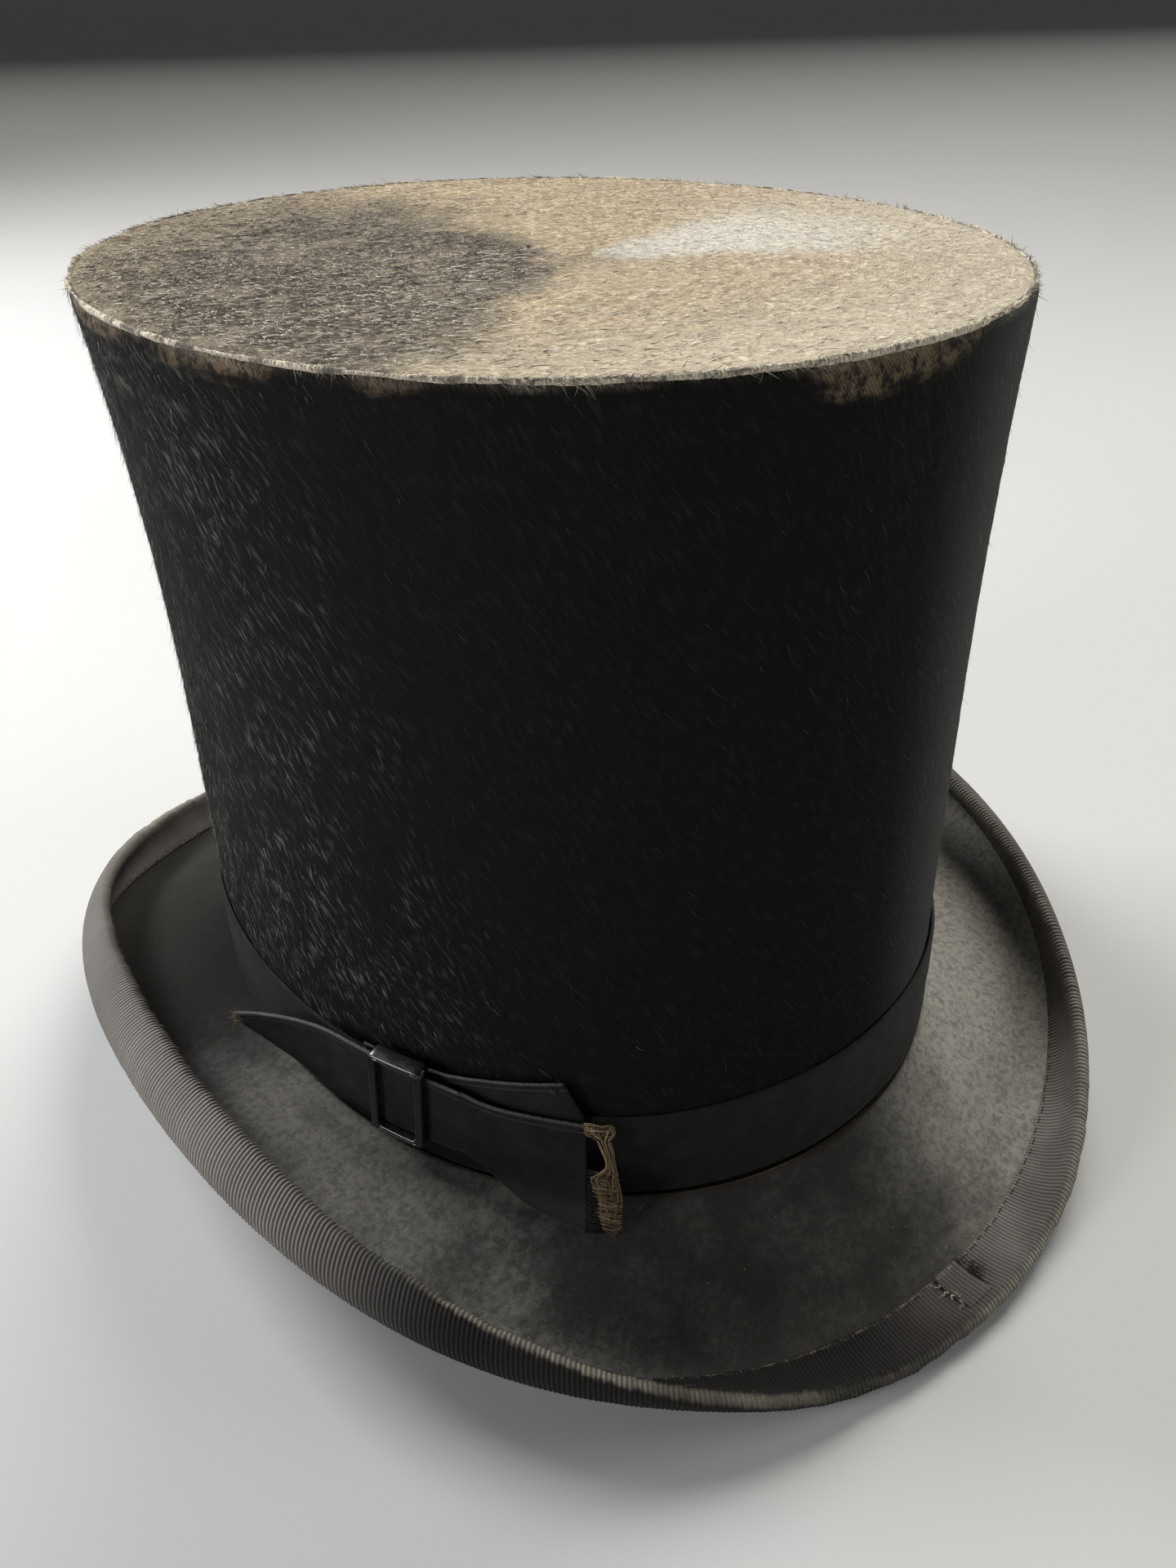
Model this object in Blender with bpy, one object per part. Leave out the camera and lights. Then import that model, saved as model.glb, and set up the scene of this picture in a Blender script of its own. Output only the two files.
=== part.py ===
"""Rigid top hat, built piece by piece as a hatter builds it.

Frame: metres, +Z up, the brim's front and back dips rest on z = 0.
The front of the hat faces -Y, the back seam is at +Y and the wearer's left is +X.
A bearing is measured from the back (+Y) towards the wearer's left (+X).
"""

import math

import bmesh
import bpy
from mathutils import Vector

# Whole hat
RING_STEPS = 40
GAP = 0.0003
FOOT_HEIGHT = 0.02124

# Crown, measured on the outer face of the plush
CROWN_HEIGHT = 0.1732
FOOT_HALF_LENGTH = 0.1040
FOOT_HALF_WIDTH = 0.0857
TIP_HALF_LENGTH = 0.1024
TIP_HALF_WIDTH = 0.0875
WAIST_LENGTH_DIP = 0.0009
WAIST_WIDTH_DIP = 0.0037
WAIST_SKEW = 1.56
OVAL_POWER = 2.06
CROWN_LEVELS = 6

# Crown layers, as thicknesses
PLUSH = 0.0008
SHELL = 0.0014
LINING = 0.0004
SWEATBAND = 0.0010
HATBAND = 0.0008

# Brim, as a profile that runs out from the crown's foot and then curls up
BRIM_FRONT_BACK = 0.0500
BRIM_SIDE = 0.0525
CURL_LENGTH = 0.0232
DIP_SLOPE = -35.5
SIDE_SLOPE = 12.5
DIP_EDGE_TURN = 29.5
SIDE_EDGE_TURN = 188.0
FLAT_SHARE = 0.19
SLOPE_POWER = 3.0
TURN_POWER = 1.22

# Brim layers, as distances from the middle of the board
BOARD_HALF = 0.0006
CLOTH = 0.0004
RIBBON = 0.0005
RIBBON_WIDTH = 0.0132
RIM_CORD_RADIUS = 0.0010
CLOTH_START = 0.0008
BOARD_SETBACK = 0.0035

# Hatband, strap and slide buckle
BAND_LOW = 0.0022
BAND_HIGH = 0.0270
BUCKLE_BEARING = 62.6
BUCKLE_WIDTH = 0.0132
BUCKLE_LEAN = 0.09
BUCKLE_LOW = 0.0092
BUCKLE_HIGH = 0.0334
BUCKLE_BAR = 0.0019
BUCKLE_RAIL = 0.0016
BUCKLE_BACK = 0.0023
BUCKLE_FRONT = 0.0058
BUCKLE_SIDE_BACK = 0.0046
CENTRE_BAR_WIDTH = 0.0024
CENTRE_BAR_DEPTH = 0.0010
STRAP_INNER = 0.0037
STRAP = 0.0005
STRAP_LOW = 0.0112
STRAP_HIGH = 0.0314
TAIL_START = 0.0146
TAIL_LENGTH = 0.0340
TAIL_BOW = 0.0028
TAIL_TIP_LOW = 0.0181
TAIL_TIP_HIGH = 0.0209

# Sweatband and lining
SWEATBAND_HIGH = 0.0480
REED_RADIUS = 0.0008
LINING_LOW = 0.0240
COLLAR_HIGH = 0.0160


# ---------------------------------------------------------------- scene and materials

def clear_scene():
    for old in list(bpy.data.objects):
        bpy.data.objects.remove(old, do_unlink=True)


def make_material(name, colour, roughness, metallic=0.0):
    finish = bpy.data.materials.new(name)
    finish.use_nodes = True
    shader = finish.node_tree.nodes["Principled BSDF"]
    shader.inputs["Base Color"].default_value = (*colour, 1.0)
    shader.inputs["Roughness"].default_value = roughness
    shader.inputs["Metallic"].default_value = metallic
    return finish


def add_object(name, points, faces, finish, smooth_angle=40.0):
    """One closed body from points and faces, triangulated along fixed diagonals."""
    mesh = bpy.data.meshes.new(name)
    mesh.from_pydata([tuple(point) for point in points], [], faces)
    work = bmesh.new()
    work.from_mesh(mesh)
    bmesh.ops.recalc_face_normals(work, faces=work.faces)
    bmesh.ops.triangulate(work, faces=work.faces, quad_method="FIXED", ngon_method="BEAUTY")
    work.to_mesh(mesh)
    work.free()
    mesh.shade_smooth()
    mesh.set_sharp_from_angle(angle=math.radians(smooth_angle))
    mesh.materials.append(finish)
    made = bpy.data.objects.new(name, mesh)
    bpy.context.scene.collection.objects.link(made)
    return made


def add_ring(name, sections, finish, ranks=None):
    """A closed ring: one loop of points for each bearing, joined all the way round.

    Each quad is split from its lower-ranked point here to its higher-ranked point there, so
    that layers which lie on each other are split along the same diagonals and never cross.
    """
    around = len(sections)
    count = len(sections[0])
    ranks = ranks or list(range(count))
    points = [point for section in sections for point in section]
    faces = []
    for step in range(around):
        here = step * count
        there = ((step + 1) % around) * count
        for index in range(count):
            after = (index + 1) % count
            if ranks[index] <= ranks[after]:
                faces.append((here + index, there + index, there + after))
                faces.append((here + index, there + after, here + after))
            else:
                faces.append((here + index, there + index, here + after))
                faces.append((there + index, there + after, here + after))
    return add_object(name, points, faces, finish)


def add_strip(name, sections, finish):
    """An open strip: one loop of points for each station, with a cap at both ends."""
    count = len(sections[0])
    points = [point for section in sections for point in section]
    faces = []
    for step in range(len(sections) - 1):
        here = step * count
        there = here + count
        for index in range(count):
            after = (index + 1) % count
            faces.append((here + index, there + index, there + after, here + after))
    last = (len(sections) - 1) * count
    faces.append(tuple(range(count)))
    faces.append(tuple(last + index for index in range(count)))
    return add_object(name, points, faces, finish)


def bearings():
    return [360.0 * step / RING_STEPS for step in range(RING_STEPS)]


def blend(low, high, share):
    return low + (high - low) * share


def blend_keys(keys, place):
    """Straight-line value between (place, value) keys that are in rising order."""
    if place <= keys[0][0]:
        return keys[0][1]
    for (start, low), (end, high) in zip(keys, keys[1:]):
        if place <= end:
            return blend(low, high, (place - start) / (end - start))
    return keys[-1][1]


# ---------------------------------------------------------------- the crown's oval

def oval_point(half_length, half_width, bearing):
    """Plan point and outward normal of the crown's oval at one bearing."""
    angle = math.radians(bearing)
    power = 2.0 / OVAL_POWER
    side = math.copysign(abs(math.sin(angle)) ** power, math.sin(angle)) * half_width
    along = math.copysign(abs(math.cos(angle)) ** power, math.cos(angle)) * half_length
    grow = OVAL_POWER - 1.0
    lean_side = math.copysign(abs(side / half_width) ** grow, side) / half_width
    lean_along = math.copysign(abs(along / half_length) ** grow, along) / half_length
    normal = Vector((lean_side, lean_along)).normalized()
    return Vector((side, along)), normal


def crown_point(bearing, height, outset):
    """Point at a height above the crown's foot, outset from the plush's outer face."""
    share = min(max(height / CROWN_HEIGHT, 0.0), 1.0)
    dip = math.sin(math.pi * share ** WAIST_SKEW)
    half_length = blend(FOOT_HALF_LENGTH, TIP_HALF_LENGTH, share) - WAIST_LENGTH_DIP * dip
    half_width = blend(FOOT_HALF_WIDTH, TIP_HALF_WIDTH, share) - WAIST_WIDTH_DIP * dip
    plan, normal = oval_point(half_length, half_width, bearing)
    plan = plan + normal * outset
    return Vector((plan.x, plan.y, FOOT_HEIGHT + height))


def crown_levels(low, high):
    grid = [CROWN_HEIGHT * step / CROWN_LEVELS for step in range(1, CROWN_LEVELS)]
    margin = 0.004
    return [low] + [level for level in grid if low + margin < level < high - margin] + [high]


def crown_wall(name, low, high, outer, inner, finish):
    """A wall that follows the crown between two heights and two outsets."""
    levels = crown_levels(low, high)
    sections = []
    for bearing in bearings():
        outside = [crown_point(bearing, level, outer) for level in levels]
        inside = [crown_point(bearing, level, inner) for level in reversed(levels)]
        sections.append(outside + inside)
    return add_ring(name, sections, finish, levels + levels[::-1])


def crown_disc(name, low, high, outset, finish):
    """A flat oval plate that lies across the crown."""
    lower = [crown_point(bearing, low, outset) for bearing in bearings()]
    upper = [crown_point(bearing, high, outset) for bearing in bearings()]
    for point in lower:
        point.z = FOOT_HEIGHT + low
    for point in upper:
        point.z = FOOT_HEIGHT + high
    return add_strip(name, [lower, upper], finish)


def crown_cord(name, height, outset, radius, sides, finish):
    """A round cord that follows the crown's oval at one height."""
    sections = []
    for bearing in bearings():
        loop = []
        for side in range(sides):
            turn = 2.0 * math.pi * side / sides
            point = crown_point(bearing, height, outset + radius * math.cos(turn))
            point.z = FOOT_HEIGHT + height + radius * math.sin(turn)
            loop.append(point)
        sections.append(loop)
    return add_ring(name, sections, finish)


# ---------------------------------------------------------------- the brim's profile

def brim_shape(bearing):
    """Width, slope and edge turn of the brim at one bearing."""
    foot, normal = oval_point(FOOT_HALF_LENGTH, FOOT_HALF_WIDTH, bearing)
    sideways = max(abs(normal.x) - FLAT_SHARE, 0.0) / (1.0 - FLAT_SHARE)
    width = blend(BRIM_FRONT_BACK, BRIM_SIDE, sideways)
    slope = math.radians(blend(DIP_SLOPE, SIDE_SLOPE, sideways ** SLOPE_POWER))
    turn = math.radians(blend(DIP_EDGE_TURN, SIDE_EDGE_TURN, sideways ** TURN_POWER))
    return foot, normal, width, slope, turn


def brim_point(bearing, from_rim, lift):
    """Point at a distance in from the rim along the profile, lifted off the board's middle.

    The profile is straight from the foot to the curl, and then one arc up to the rim.
    """
    foot, normal, width, slope, turn = brim_shape(bearing)
    straight = width - CURL_LENGTH
    run = width - from_rim
    if run <= straight:
        angle = slope
        out = run * math.cos(slope)
        up = run * math.sin(slope)
    else:
        angle = slope + (turn - slope) * (run - straight) / CURL_LENGTH
        radius = CURL_LENGTH / (turn - slope)
        out = straight * math.cos(slope) + radius * (math.sin(angle) - math.sin(slope))
        up = straight * math.sin(slope) + radius * (math.cos(slope) - math.cos(angle))
    out -= lift * math.sin(angle)
    up += lift * math.cos(angle)
    plan = foot + normal * out
    return Vector((plan.x, plan.y, FOOT_HEIGHT + up))


def rim_point(bearing, turn, radius):
    """Point on the rounded rim, at an angle from the top face over the edge to the under face."""
    centre_back = BOARD_HALF + CLOTH + RIBBON + 2.0 * GAP
    centre = brim_point(bearing, centre_back, 0.0)
    top = brim_point(bearing, centre_back, 1.0) - centre
    _, normal, _, _, _ = brim_shape(bearing)
    edge_out = Vector((normal.x * top.z, normal.y * top.z, -(top.x * normal.x + top.y * normal.y)))
    return centre + (top * math.cos(turn) + edge_out * math.sin(turn)) * radius


def brim_stations(start, end):
    """Distances in from the rim where every layer of the brim has its points."""
    middle = (BRIM_FRONT_BACK + CURL_LENGTH) / 2.0
    grid = [middle, CURL_LENGTH, 0.0182, RIBBON_WIDTH, 0.0099, 0.0066, BOARD_SETBACK]
    return [start] + [place for place in grid if end < place < start] + [end]


def brim_layer(name, inner_run, end, high, low, finish):
    """A sheet of the brim between two lifts, from near the crown's foot out to near the rim."""
    sections = []
    for bearing in bearings():
        _, _, width, _, _ = brim_shape(bearing)
        places = brim_stations(width - inner_run, end)
        upper = [brim_point(bearing, place, high) for place in places]
        lower = [brim_point(bearing, place, low) for place in reversed(places)]
        sections.append(upper + lower)
    ranks = [-place for place in places]
    return add_ring(name, sections, finish, ranks + ranks[::-1])


def make_binding(ribbon):
    """The folded ribbon: over the top face, round the rim and back along the under face."""
    outer = BOARD_HALF + CLOTH + RIBBON + 2.0 * GAP
    inner = outer - RIBBON
    turn_steps = 4
    places = brim_stations(RIBBON_WIDTH, outer)[:-1]
    turns = [math.pi * step / turn_steps for step in range(turn_steps + 1)]
    sections = []
    for bearing in bearings():
        over = [brim_point(bearing, place, outer) for place in places]
        over += [rim_point(bearing, turn, outer) for turn in turns]
        over += [brim_point(bearing, place, -outer) for place in reversed(places)]
        back = [brim_point(bearing, place, -inner) for place in places]
        back += [rim_point(bearing, turn, inner) for turn in reversed(turns)]
        back += [brim_point(bearing, place, inner) for place in reversed(places)]
        for point in over:
            point.z = max(point.z, 0.0)
        sections.append(over + back)
    ranks = [-place for place in places]
    rim_ranks = [math.sin(turn) for turn in turns]
    half = ranks + rim_ranks + ranks[::-1]
    add_ring("brim_binding", sections, ribbon, half + half)


def make_brim(felt, board, ribbon, cord):
    layer = BOARD_HALF + GAP
    brim_layer("brim_board", 0.0, BOARD_SETBACK, BOARD_HALF, -BOARD_HALF, board)
    brim_layer("upper_brim_cloth", CLOTH_START, BOARD_SETBACK, layer + CLOTH, layer, felt)
    brim_layer("under_brim_cloth", CLOTH_START, BOARD_SETBACK, -layer, -layer - CLOTH, felt)
    make_binding(ribbon)
    cord_sides = 6
    sections = []
    for bearing in bearings():
        turns = [2.0 * math.pi * side / cord_sides for side in range(cord_sides)]
        sections.append([rim_point(bearing, turn, RIM_CORD_RADIUS) for turn in turns])
    add_ring("rim_cord", sections, cord)


def make_binding_join(ribbon):
    """The ribbon's two ends overlap at the centre of the back, on the top face only."""
    low = BOARD_HALF + CLOTH + RIBBON + 3.0 * GAP
    high = low + RIBBON
    half_span = 2.1
    places = (RIBBON_WIDTH, 0.0099, 0.0066, 0.0030)
    sections = []
    for bearing in (-half_span, 0.0, half_span):
        upper = [brim_point(bearing, place, high) for place in places]
        lower = [brim_point(bearing, place, low) for place in reversed(places)]
        sections.append(upper + lower)
    add_strip("binding_join", sections, ribbon)


# ---------------------------------------------------------------- crown pieces

def make_crown(board, plush, tip_plush, seam, collar):
    shell_out = -(PLUSH + GAP)
    shell_in = shell_out - SHELL
    board_top = CROWN_HEIGHT - PLUSH - GAP
    board_low = board_top - SHELL
    foot_drop = -0.0012
    seam_half = 0.0006
    tip_edge = -(PLUSH + GAP)
    crown_wall("crown_shell", foot_drop, board_low - GAP, shell_out, shell_in, board)
    crown_wall("side_plush", 0.0010, CROWN_HEIGHT - 0.0014, 0.0, -PLUSH, plush)
    crown_disc("tip_board", board_low, board_top, tip_edge, board)
    crown_disc("tip_plush", CROWN_HEIGHT - PLUSH, CROWN_HEIGHT, tip_edge, tip_plush)
    crown_cord("tip_edge_seam", CROWN_HEIGHT - 0.00045, -0.0002, seam_half, 6, seam)
    crown_wall("crown_foot_collar", foot_drop, COLLAR_HIGH, shell_in - GAP, shell_in - GAP - LINING, collar)


def make_inside(leather, reed, satin, piping, bow, tape):
    lining_out = -(PLUSH + SHELL + 2.0 * GAP)
    lining_in = lining_out - LINING
    sweat_out = lining_in - GAP
    sweat_in = sweat_out - SWEATBAND
    lining_top = CROWN_HEIGHT - PLUSH - SHELL - 2.0 * GAP
    crown_wall("lining_side", LINING_LOW, lining_top - LINING - GAP, lining_out, lining_in, satin)
    crown_disc("lining_tip", lining_top - LINING, lining_top, lining_in - GAP, satin)
    piping_height = lining_top - LINING - GAP - REED_RADIUS
    crown_cord("lining_piping", piping_height, lining_in - GAP - REED_RADIUS, REED_RADIUS, 5, piping)
    crown_wall("sweatband", -0.0006, SWEATBAND_HIGH, sweat_out, sweat_in, leather)
    crown_cord("sweatband_reed", -0.0024, lining_out, REED_RADIUS, 5, reed)
    make_seam_tape(sweat_in - GAP, tape)
    make_bow(sweat_in - 0.0020, bow)


def make_seam_tape(outset, tape):
    """A narrow tape over the butted ends of the sweatband, at the centre of the back."""
    thickness = 0.0004
    half_span = 3.2
    low = 0.0020
    high = 0.0440
    sections = []
    for bearing in (-half_span, 0.0, half_span):
        inner = outset - thickness
        sections.append([
            crown_point(bearing, low, outset),
            crown_point(bearing, high, outset),
            crown_point(bearing, high, inner),
            crown_point(bearing, low, inner),
        ])
    add_strip("sweatband_seam_tape", sections, tape)


def make_bow(outset, ribbon):
    """A small flat bow on the sweatband's back seam: two loops that pinch in at a knot."""
    half_width = 0.0095
    half_loop = 0.0044
    half_knot = 0.0016
    thickness = 0.0010
    middle = 0.0400
    wall = crown_point(0.0, middle, outset)
    sections = []
    for step in range(-4, 5):
        share = step / 4.0
        spread = math.sin(math.pi * min(abs(share), 0.999) * 0.62)
        reach = half_knot + (half_loop - half_knot) * spread
        across = half_width * share
        sections.append([
            Vector((across, wall.y, wall.z - reach)),
            Vector((across, wall.y, wall.z + reach)),
            Vector((across, wall.y - thickness, wall.z + reach)),
            Vector((across, wall.y - thickness, wall.z - reach)),
        ])
    add_strip("sweatband_bow", sections, ribbon)


# ---------------------------------------------------------------- hatband, strap and buckle

def circle_centre(first, second, third):
    """Centre of the circle through three plan points."""
    ax, ay = first.x - third.x, first.y - third.y
    bx, by = second.x - third.x, second.y - third.y
    cross = 2.0 * (ax * by - ay * bx)
    a_square = ax * ax + ay * ay
    b_square = bx * bx + by * by
    return Vector((
        third.x + (a_square * by - b_square * ay) / cross,
        third.y + (b_square * ax - a_square * bx) / cross,
    ))


class BuckleTrack:
    """The arc that the slide buckle travels along: the crown's own curve at the buckle."""

    def __init__(self):
        reach = 9.0
        height = (BUCKLE_LOW + BUCKLE_HIGH) / 2.0
        bearings_used = (BUCKLE_BEARING - reach, BUCKLE_BEARING, BUCKLE_BEARING + reach)
        ring = [crown_point(bearing, height, 0.0).xy for bearing in bearings_used]
        self.centre = circle_centre(*ring)
        spoke = ring[1] - self.centre
        self.radius = spoke.length
        self.middle_angle = math.atan2(spoke.y, spoke.x)

    def point(self, towards_back, height, outset):
        """Point at an arc distance from the buckle's middle, outset from the plush."""
        angle = self.middle_angle + towards_back / self.radius
        reach = self.radius + outset
        return Vector((
            self.centre.x + reach * math.cos(angle),
            self.centre.y + reach * math.sin(angle),
            FOOT_HEIGHT + height,
        ))


def make_buckle(track, enamel):
    """A rectangular slide frame round the strap, with deep rails above and below it.

    The frame leans a little: its top lies further towards the back than its foot.
    """
    half = BUCKLE_WIDTH / 2.0
    inner_half = half - BUCKLE_BAR
    middle = (BUCKLE_LOW + BUCKLE_HIGH) / 2.0
    rise = (BUCKLE_HIGH - BUCKLE_LOW) / 2.0
    inner_rise = rise - BUCKLE_RAIL
    bar_rise = inner_rise - 0.00005

    def spot(along, height, outset):
        return track.point(along + BUCKLE_LEAN * height, middle + height, outset)

    stations = (
        (-rise, -inner_rise, BUCKLE_BACK),
        (-bar_rise, -bar_rise, BUCKLE_SIDE_BACK),
        (bar_rise, bar_rise, BUCKLE_SIDE_BACK),
        (rise, inner_rise, BUCKLE_BACK),
    )
    sections = []
    for side in (1.0, -1.0):
        for outer_height, inner_height, back in stations:
            sections.append([
                spot(side * half, side * outer_height, BUCKLE_FRONT),
                spot(side * inner_half, side * inner_height, BUCKLE_FRONT),
                spot(side * inner_half, side * inner_height, back),
                spot(side * half, side * outer_height, back),
            ])
    add_ring("buckle_frame", sections, enamel)
    centre_half = CENTRE_BAR_WIDTH / 2.0
    centre_rise = inner_rise - GAP
    centre_front = BUCKLE_BACK + CENTRE_BAR_DEPTH
    bar_sections = []
    for along in (-centre_half, centre_half):
        bar_sections.append([
            spot(along, -centre_rise, BUCKLE_BACK),
            spot(along, centre_rise, BUCKLE_BACK),
            spot(along, centre_rise, centre_front),
            spot(along, -centre_rise, centre_front),
        ])
    add_strip("buckle_centre_bar", bar_sections, enamel)


def strip_section(top, bottom, top_normal, bottom_normal, thickness):
    return [top, bottom, bottom + bottom_normal * thickness, top + top_normal * thickness]


def crown_normal(bearing):
    _, normal = oval_point(FOOT_HALF_LENGTH, FOOT_HALF_WIDTH, bearing)
    return Vector((normal.x, normal.y, 0.0))


def make_strap(track, cloth):
    """The strap: an arc through the buckle, then back along the band to its torn end.

    Its upper edge falls away behind the buckle, and its lower edge flares out over the brim.
    """
    arc_end = 0.0150
    arc_steps = 6
    taper_start = 0.0040
    taper = 0.0018
    sections = []
    for step in range(arc_steps + 1):
        along = blend(-(TAIL_START - 0.0002), arc_end, step / arc_steps)
        fall = taper * max(along - taper_start, 0.0) / (arc_end - taper_start)
        inner_top = track.point(along, STRAP_HIGH - fall, STRAP_INNER)
        inner_low = track.point(along, STRAP_LOW, STRAP_INNER)
        outward = Vector((inner_top.x - track.centre.x, inner_top.y - track.centre.y, 0.0)).normalized()
        sections.append(strip_section(inner_top, inner_low, outward, outward, STRAP))
    # bearing, then the height and outset of the upper edge and of the lower edge
    stations = (
        (51.5, 0.0282, 0.0035, 0.0085, 0.0036),
        (48.8, 0.0273, 0.0033, 0.0042, 0.0036),
        (46.6, 0.0268, 0.0031, 0.0012, 0.0045),
        (44.4, 0.0264, 0.0028, 0.0002, 0.0055),
        (41.0, 0.0258, 0.0025, -0.0008, 0.0068),
        (38.2, 0.0252, 0.0023, -0.0015, 0.0076),
    )
    for bearing, high, high_outset, low, low_outset in stations:
        top = crown_point(bearing, high, high_outset)
        bottom = crown_point(bearing, 0.0, low_outset)
        bottom.z = FOOT_HEIGHT + low
        normal = crown_normal(bearing)
        sections.append(strip_section(top, bottom, normal, normal, STRAP))
    add_strip("hatband_strap", sections, cloth)


def make_frayed_end(frayed):
    """The strap's torn end: an hourglass of loose threads, wide at its top and bottom."""
    near = 37.9
    # height, the bearing that the threads reach to, and the outset
    rows = (
        (0.0262, 34.0, 0.0023),
        (0.0220, 34.4, 0.0026),
        (0.0175, 35.3, 0.0032),
        (0.0120, 34.8, 0.0043),
        (0.0060, 33.3, 0.0058),
        (-0.0016, 33.7, 0.0077),
    )
    sections = []
    for height, far, outset in rows:
        corners = []
        for bearing, extra in ((near, 0.0), (far, 0.0), (far, STRAP), (near, STRAP)):
            corner = crown_point(bearing, 0.0, outset + extra)
            corner.z = FOOT_HEIGHT + height
            corners.append(corner)
        sections.append(corners)
    add_strip("strap_frayed_end", sections, frayed)


def make_underlay(cloth, thread):
    """The strap's second layer behind the buckle, whose loose end lifts above the band."""
    start_bearing = 68.5
    end_bearing = 41.0
    inner = HATBAND + 2.0 * GAP
    thickness = 0.0004
    steps = 6
    sections = []
    for step in range(steps + 1):
        share = step / steps
        bearing = blend(start_bearing, end_bearing, share)
        high = blend_keys(((0.0, 0.0300), (0.45, 0.0310), (1.0, 0.0355)), share)
        low = blend(0.0110, 0.0130, share)
        normal = crown_normal(bearing)
        top = crown_point(bearing, high, inner)
        bottom = crown_point(bearing, low, inner)
        sections.append(strip_section(top, bottom, normal, normal, thickness))
    add_strip("strap_underlay", sections, cloth)
    tack_radius = 0.0007
    tack_sides = 8
    tack_depth = 0.0006
    tack_bearing = 42.2
    tack_height = 0.0335
    base = crown_point(tack_bearing, tack_height, inner + thickness + GAP)
    normal = crown_normal(tack_bearing)
    sideways = Vector((-normal.y, normal.x, 0.0))
    sections = []
    for depth in (0.0, tack_depth):
        loop = []
        for side in range(tack_sides):
            turn = 2.0 * math.pi * side / tack_sides
            spoke = sideways * math.cos(turn) + Vector((0.0, 0.0, math.sin(turn)))
            loop.append(base + normal * depth + spoke * tack_radius)
        sections.append(loop)
    add_strip("strap_tack", sections, thread)


def make_tail(track, cloth):
    """The strap's free end: it leaves the buckle's arc along its tangent and ends in a point."""
    root = track.point(-(TAIL_START + GAP), 0.0, STRAP_INNER)
    outward = Vector((root.x - track.centre.x, root.y - track.centre.y, 0.0)).normalized()
    forward = Vector((outward.y, -outward.x, 0.0))
    stations = (0.0, 0.25, 0.50, 0.75, 1.0)
    sections = []
    for share in stations:
        high = blend(STRAP_HIGH - 0.0002, TAIL_TIP_HIGH, share ** 1.5)
        low = blend_keys(((0.0, STRAP_LOW), (0.25, STRAP_LOW + 0.0004), (1.0, TAIL_TIP_LOW)), share)
        base = root + forward * (TAIL_LENGTH * share) + outward * (TAIL_BOW * share ** 2)
        top = Vector((base.x, base.y, FOOT_HEIGHT + high))
        bottom = Vector((base.x, base.y, FOOT_HEIGHT + low))
        sections.append(strip_section(top, bottom, outward, outward, STRAP))
    pivot = root - forward * (GAP / 2.0) + outward * (STRAP / 2.0)
    pivot.z = FOOT_HEIGHT
    tail = add_strip("strap_tail", sections, cloth)
    return tail, pivot


def set_origin(made, origin):
    """Move an object's origin onto its joint's axis without moving its shape."""
    for corner in made.data.vertices:
        corner.co -= origin
    made.location = origin


def make_trim(band_cloth, strap_cloth, frayed, thread, enamel):
    crown_wall("hatband", BAND_LOW, BAND_HIGH, GAP + HATBAND, GAP, band_cloth)
    track = BuckleTrack()
    make_strap(track, strap_cloth)
    make_frayed_end(frayed)
    make_underlay(strap_cloth, thread)
    make_buckle(track, enamel)
    tail, pivot = make_tail(track, strap_cloth)
    slide_axis = Vector((track.centre.x, track.centre.y, FOOT_HEIGHT))
    set_origin(bpy.data.objects["buckle_frame"], slide_axis)
    set_origin(bpy.data.objects["buckle_centre_bar"], slide_axis)
    set_origin(tail, pivot)


def main():
    clear_scene()
    board = make_material("shellacked_board", (0.16, 0.12, 0.08), 0.55)
    plush = make_material("black_plush", (0.010, 0.010, 0.010), 0.60)
    worn_plush = make_material("worn_tip_plush", (0.17, 0.14, 0.12), 0.75)
    seam = make_material("worn_edge_seam", (0.30, 0.22, 0.16), 0.85)
    collar = make_material("linen_collar", (0.45, 0.40, 0.32), 0.85)
    felt = make_material("brim_cloth", (0.030, 0.026, 0.022), 0.90)
    ribbon = make_material("binding_grosgrain", (0.045, 0.036, 0.034), 0.65)
    band_cloth = make_material("band_cloth", (0.006, 0.006, 0.006), 0.70)
    frayed = make_material("frayed_threads", (0.22, 0.14, 0.08), 0.95)
    thread = make_material("sewing_thread", (0.06, 0.05, 0.045), 0.70)
    enamel = make_material("black_enamel", (0.012, 0.012, 0.012), 0.25)
    leather = make_material("sweatband_leather", (0.36, 0.20, 0.10), 0.50)
    satin = make_material("satin_lining", (0.68, 0.62, 0.52), 0.35)
    cord = make_material("cotton_cord", (0.55, 0.48, 0.38), 0.90)
    make_crown(board, plush, worn_plush, seam, collar)
    make_inside(leather, cord, satin, satin, thread, thread)
    make_brim(felt, board, ribbon, cord)
    make_binding_join(ribbon)
    make_trim(band_cloth, band_cloth, frayed, thread, enamel)


main()
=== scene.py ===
import math

import bpy
import numpy as np
from mathutils import Matrix, Vector


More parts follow.
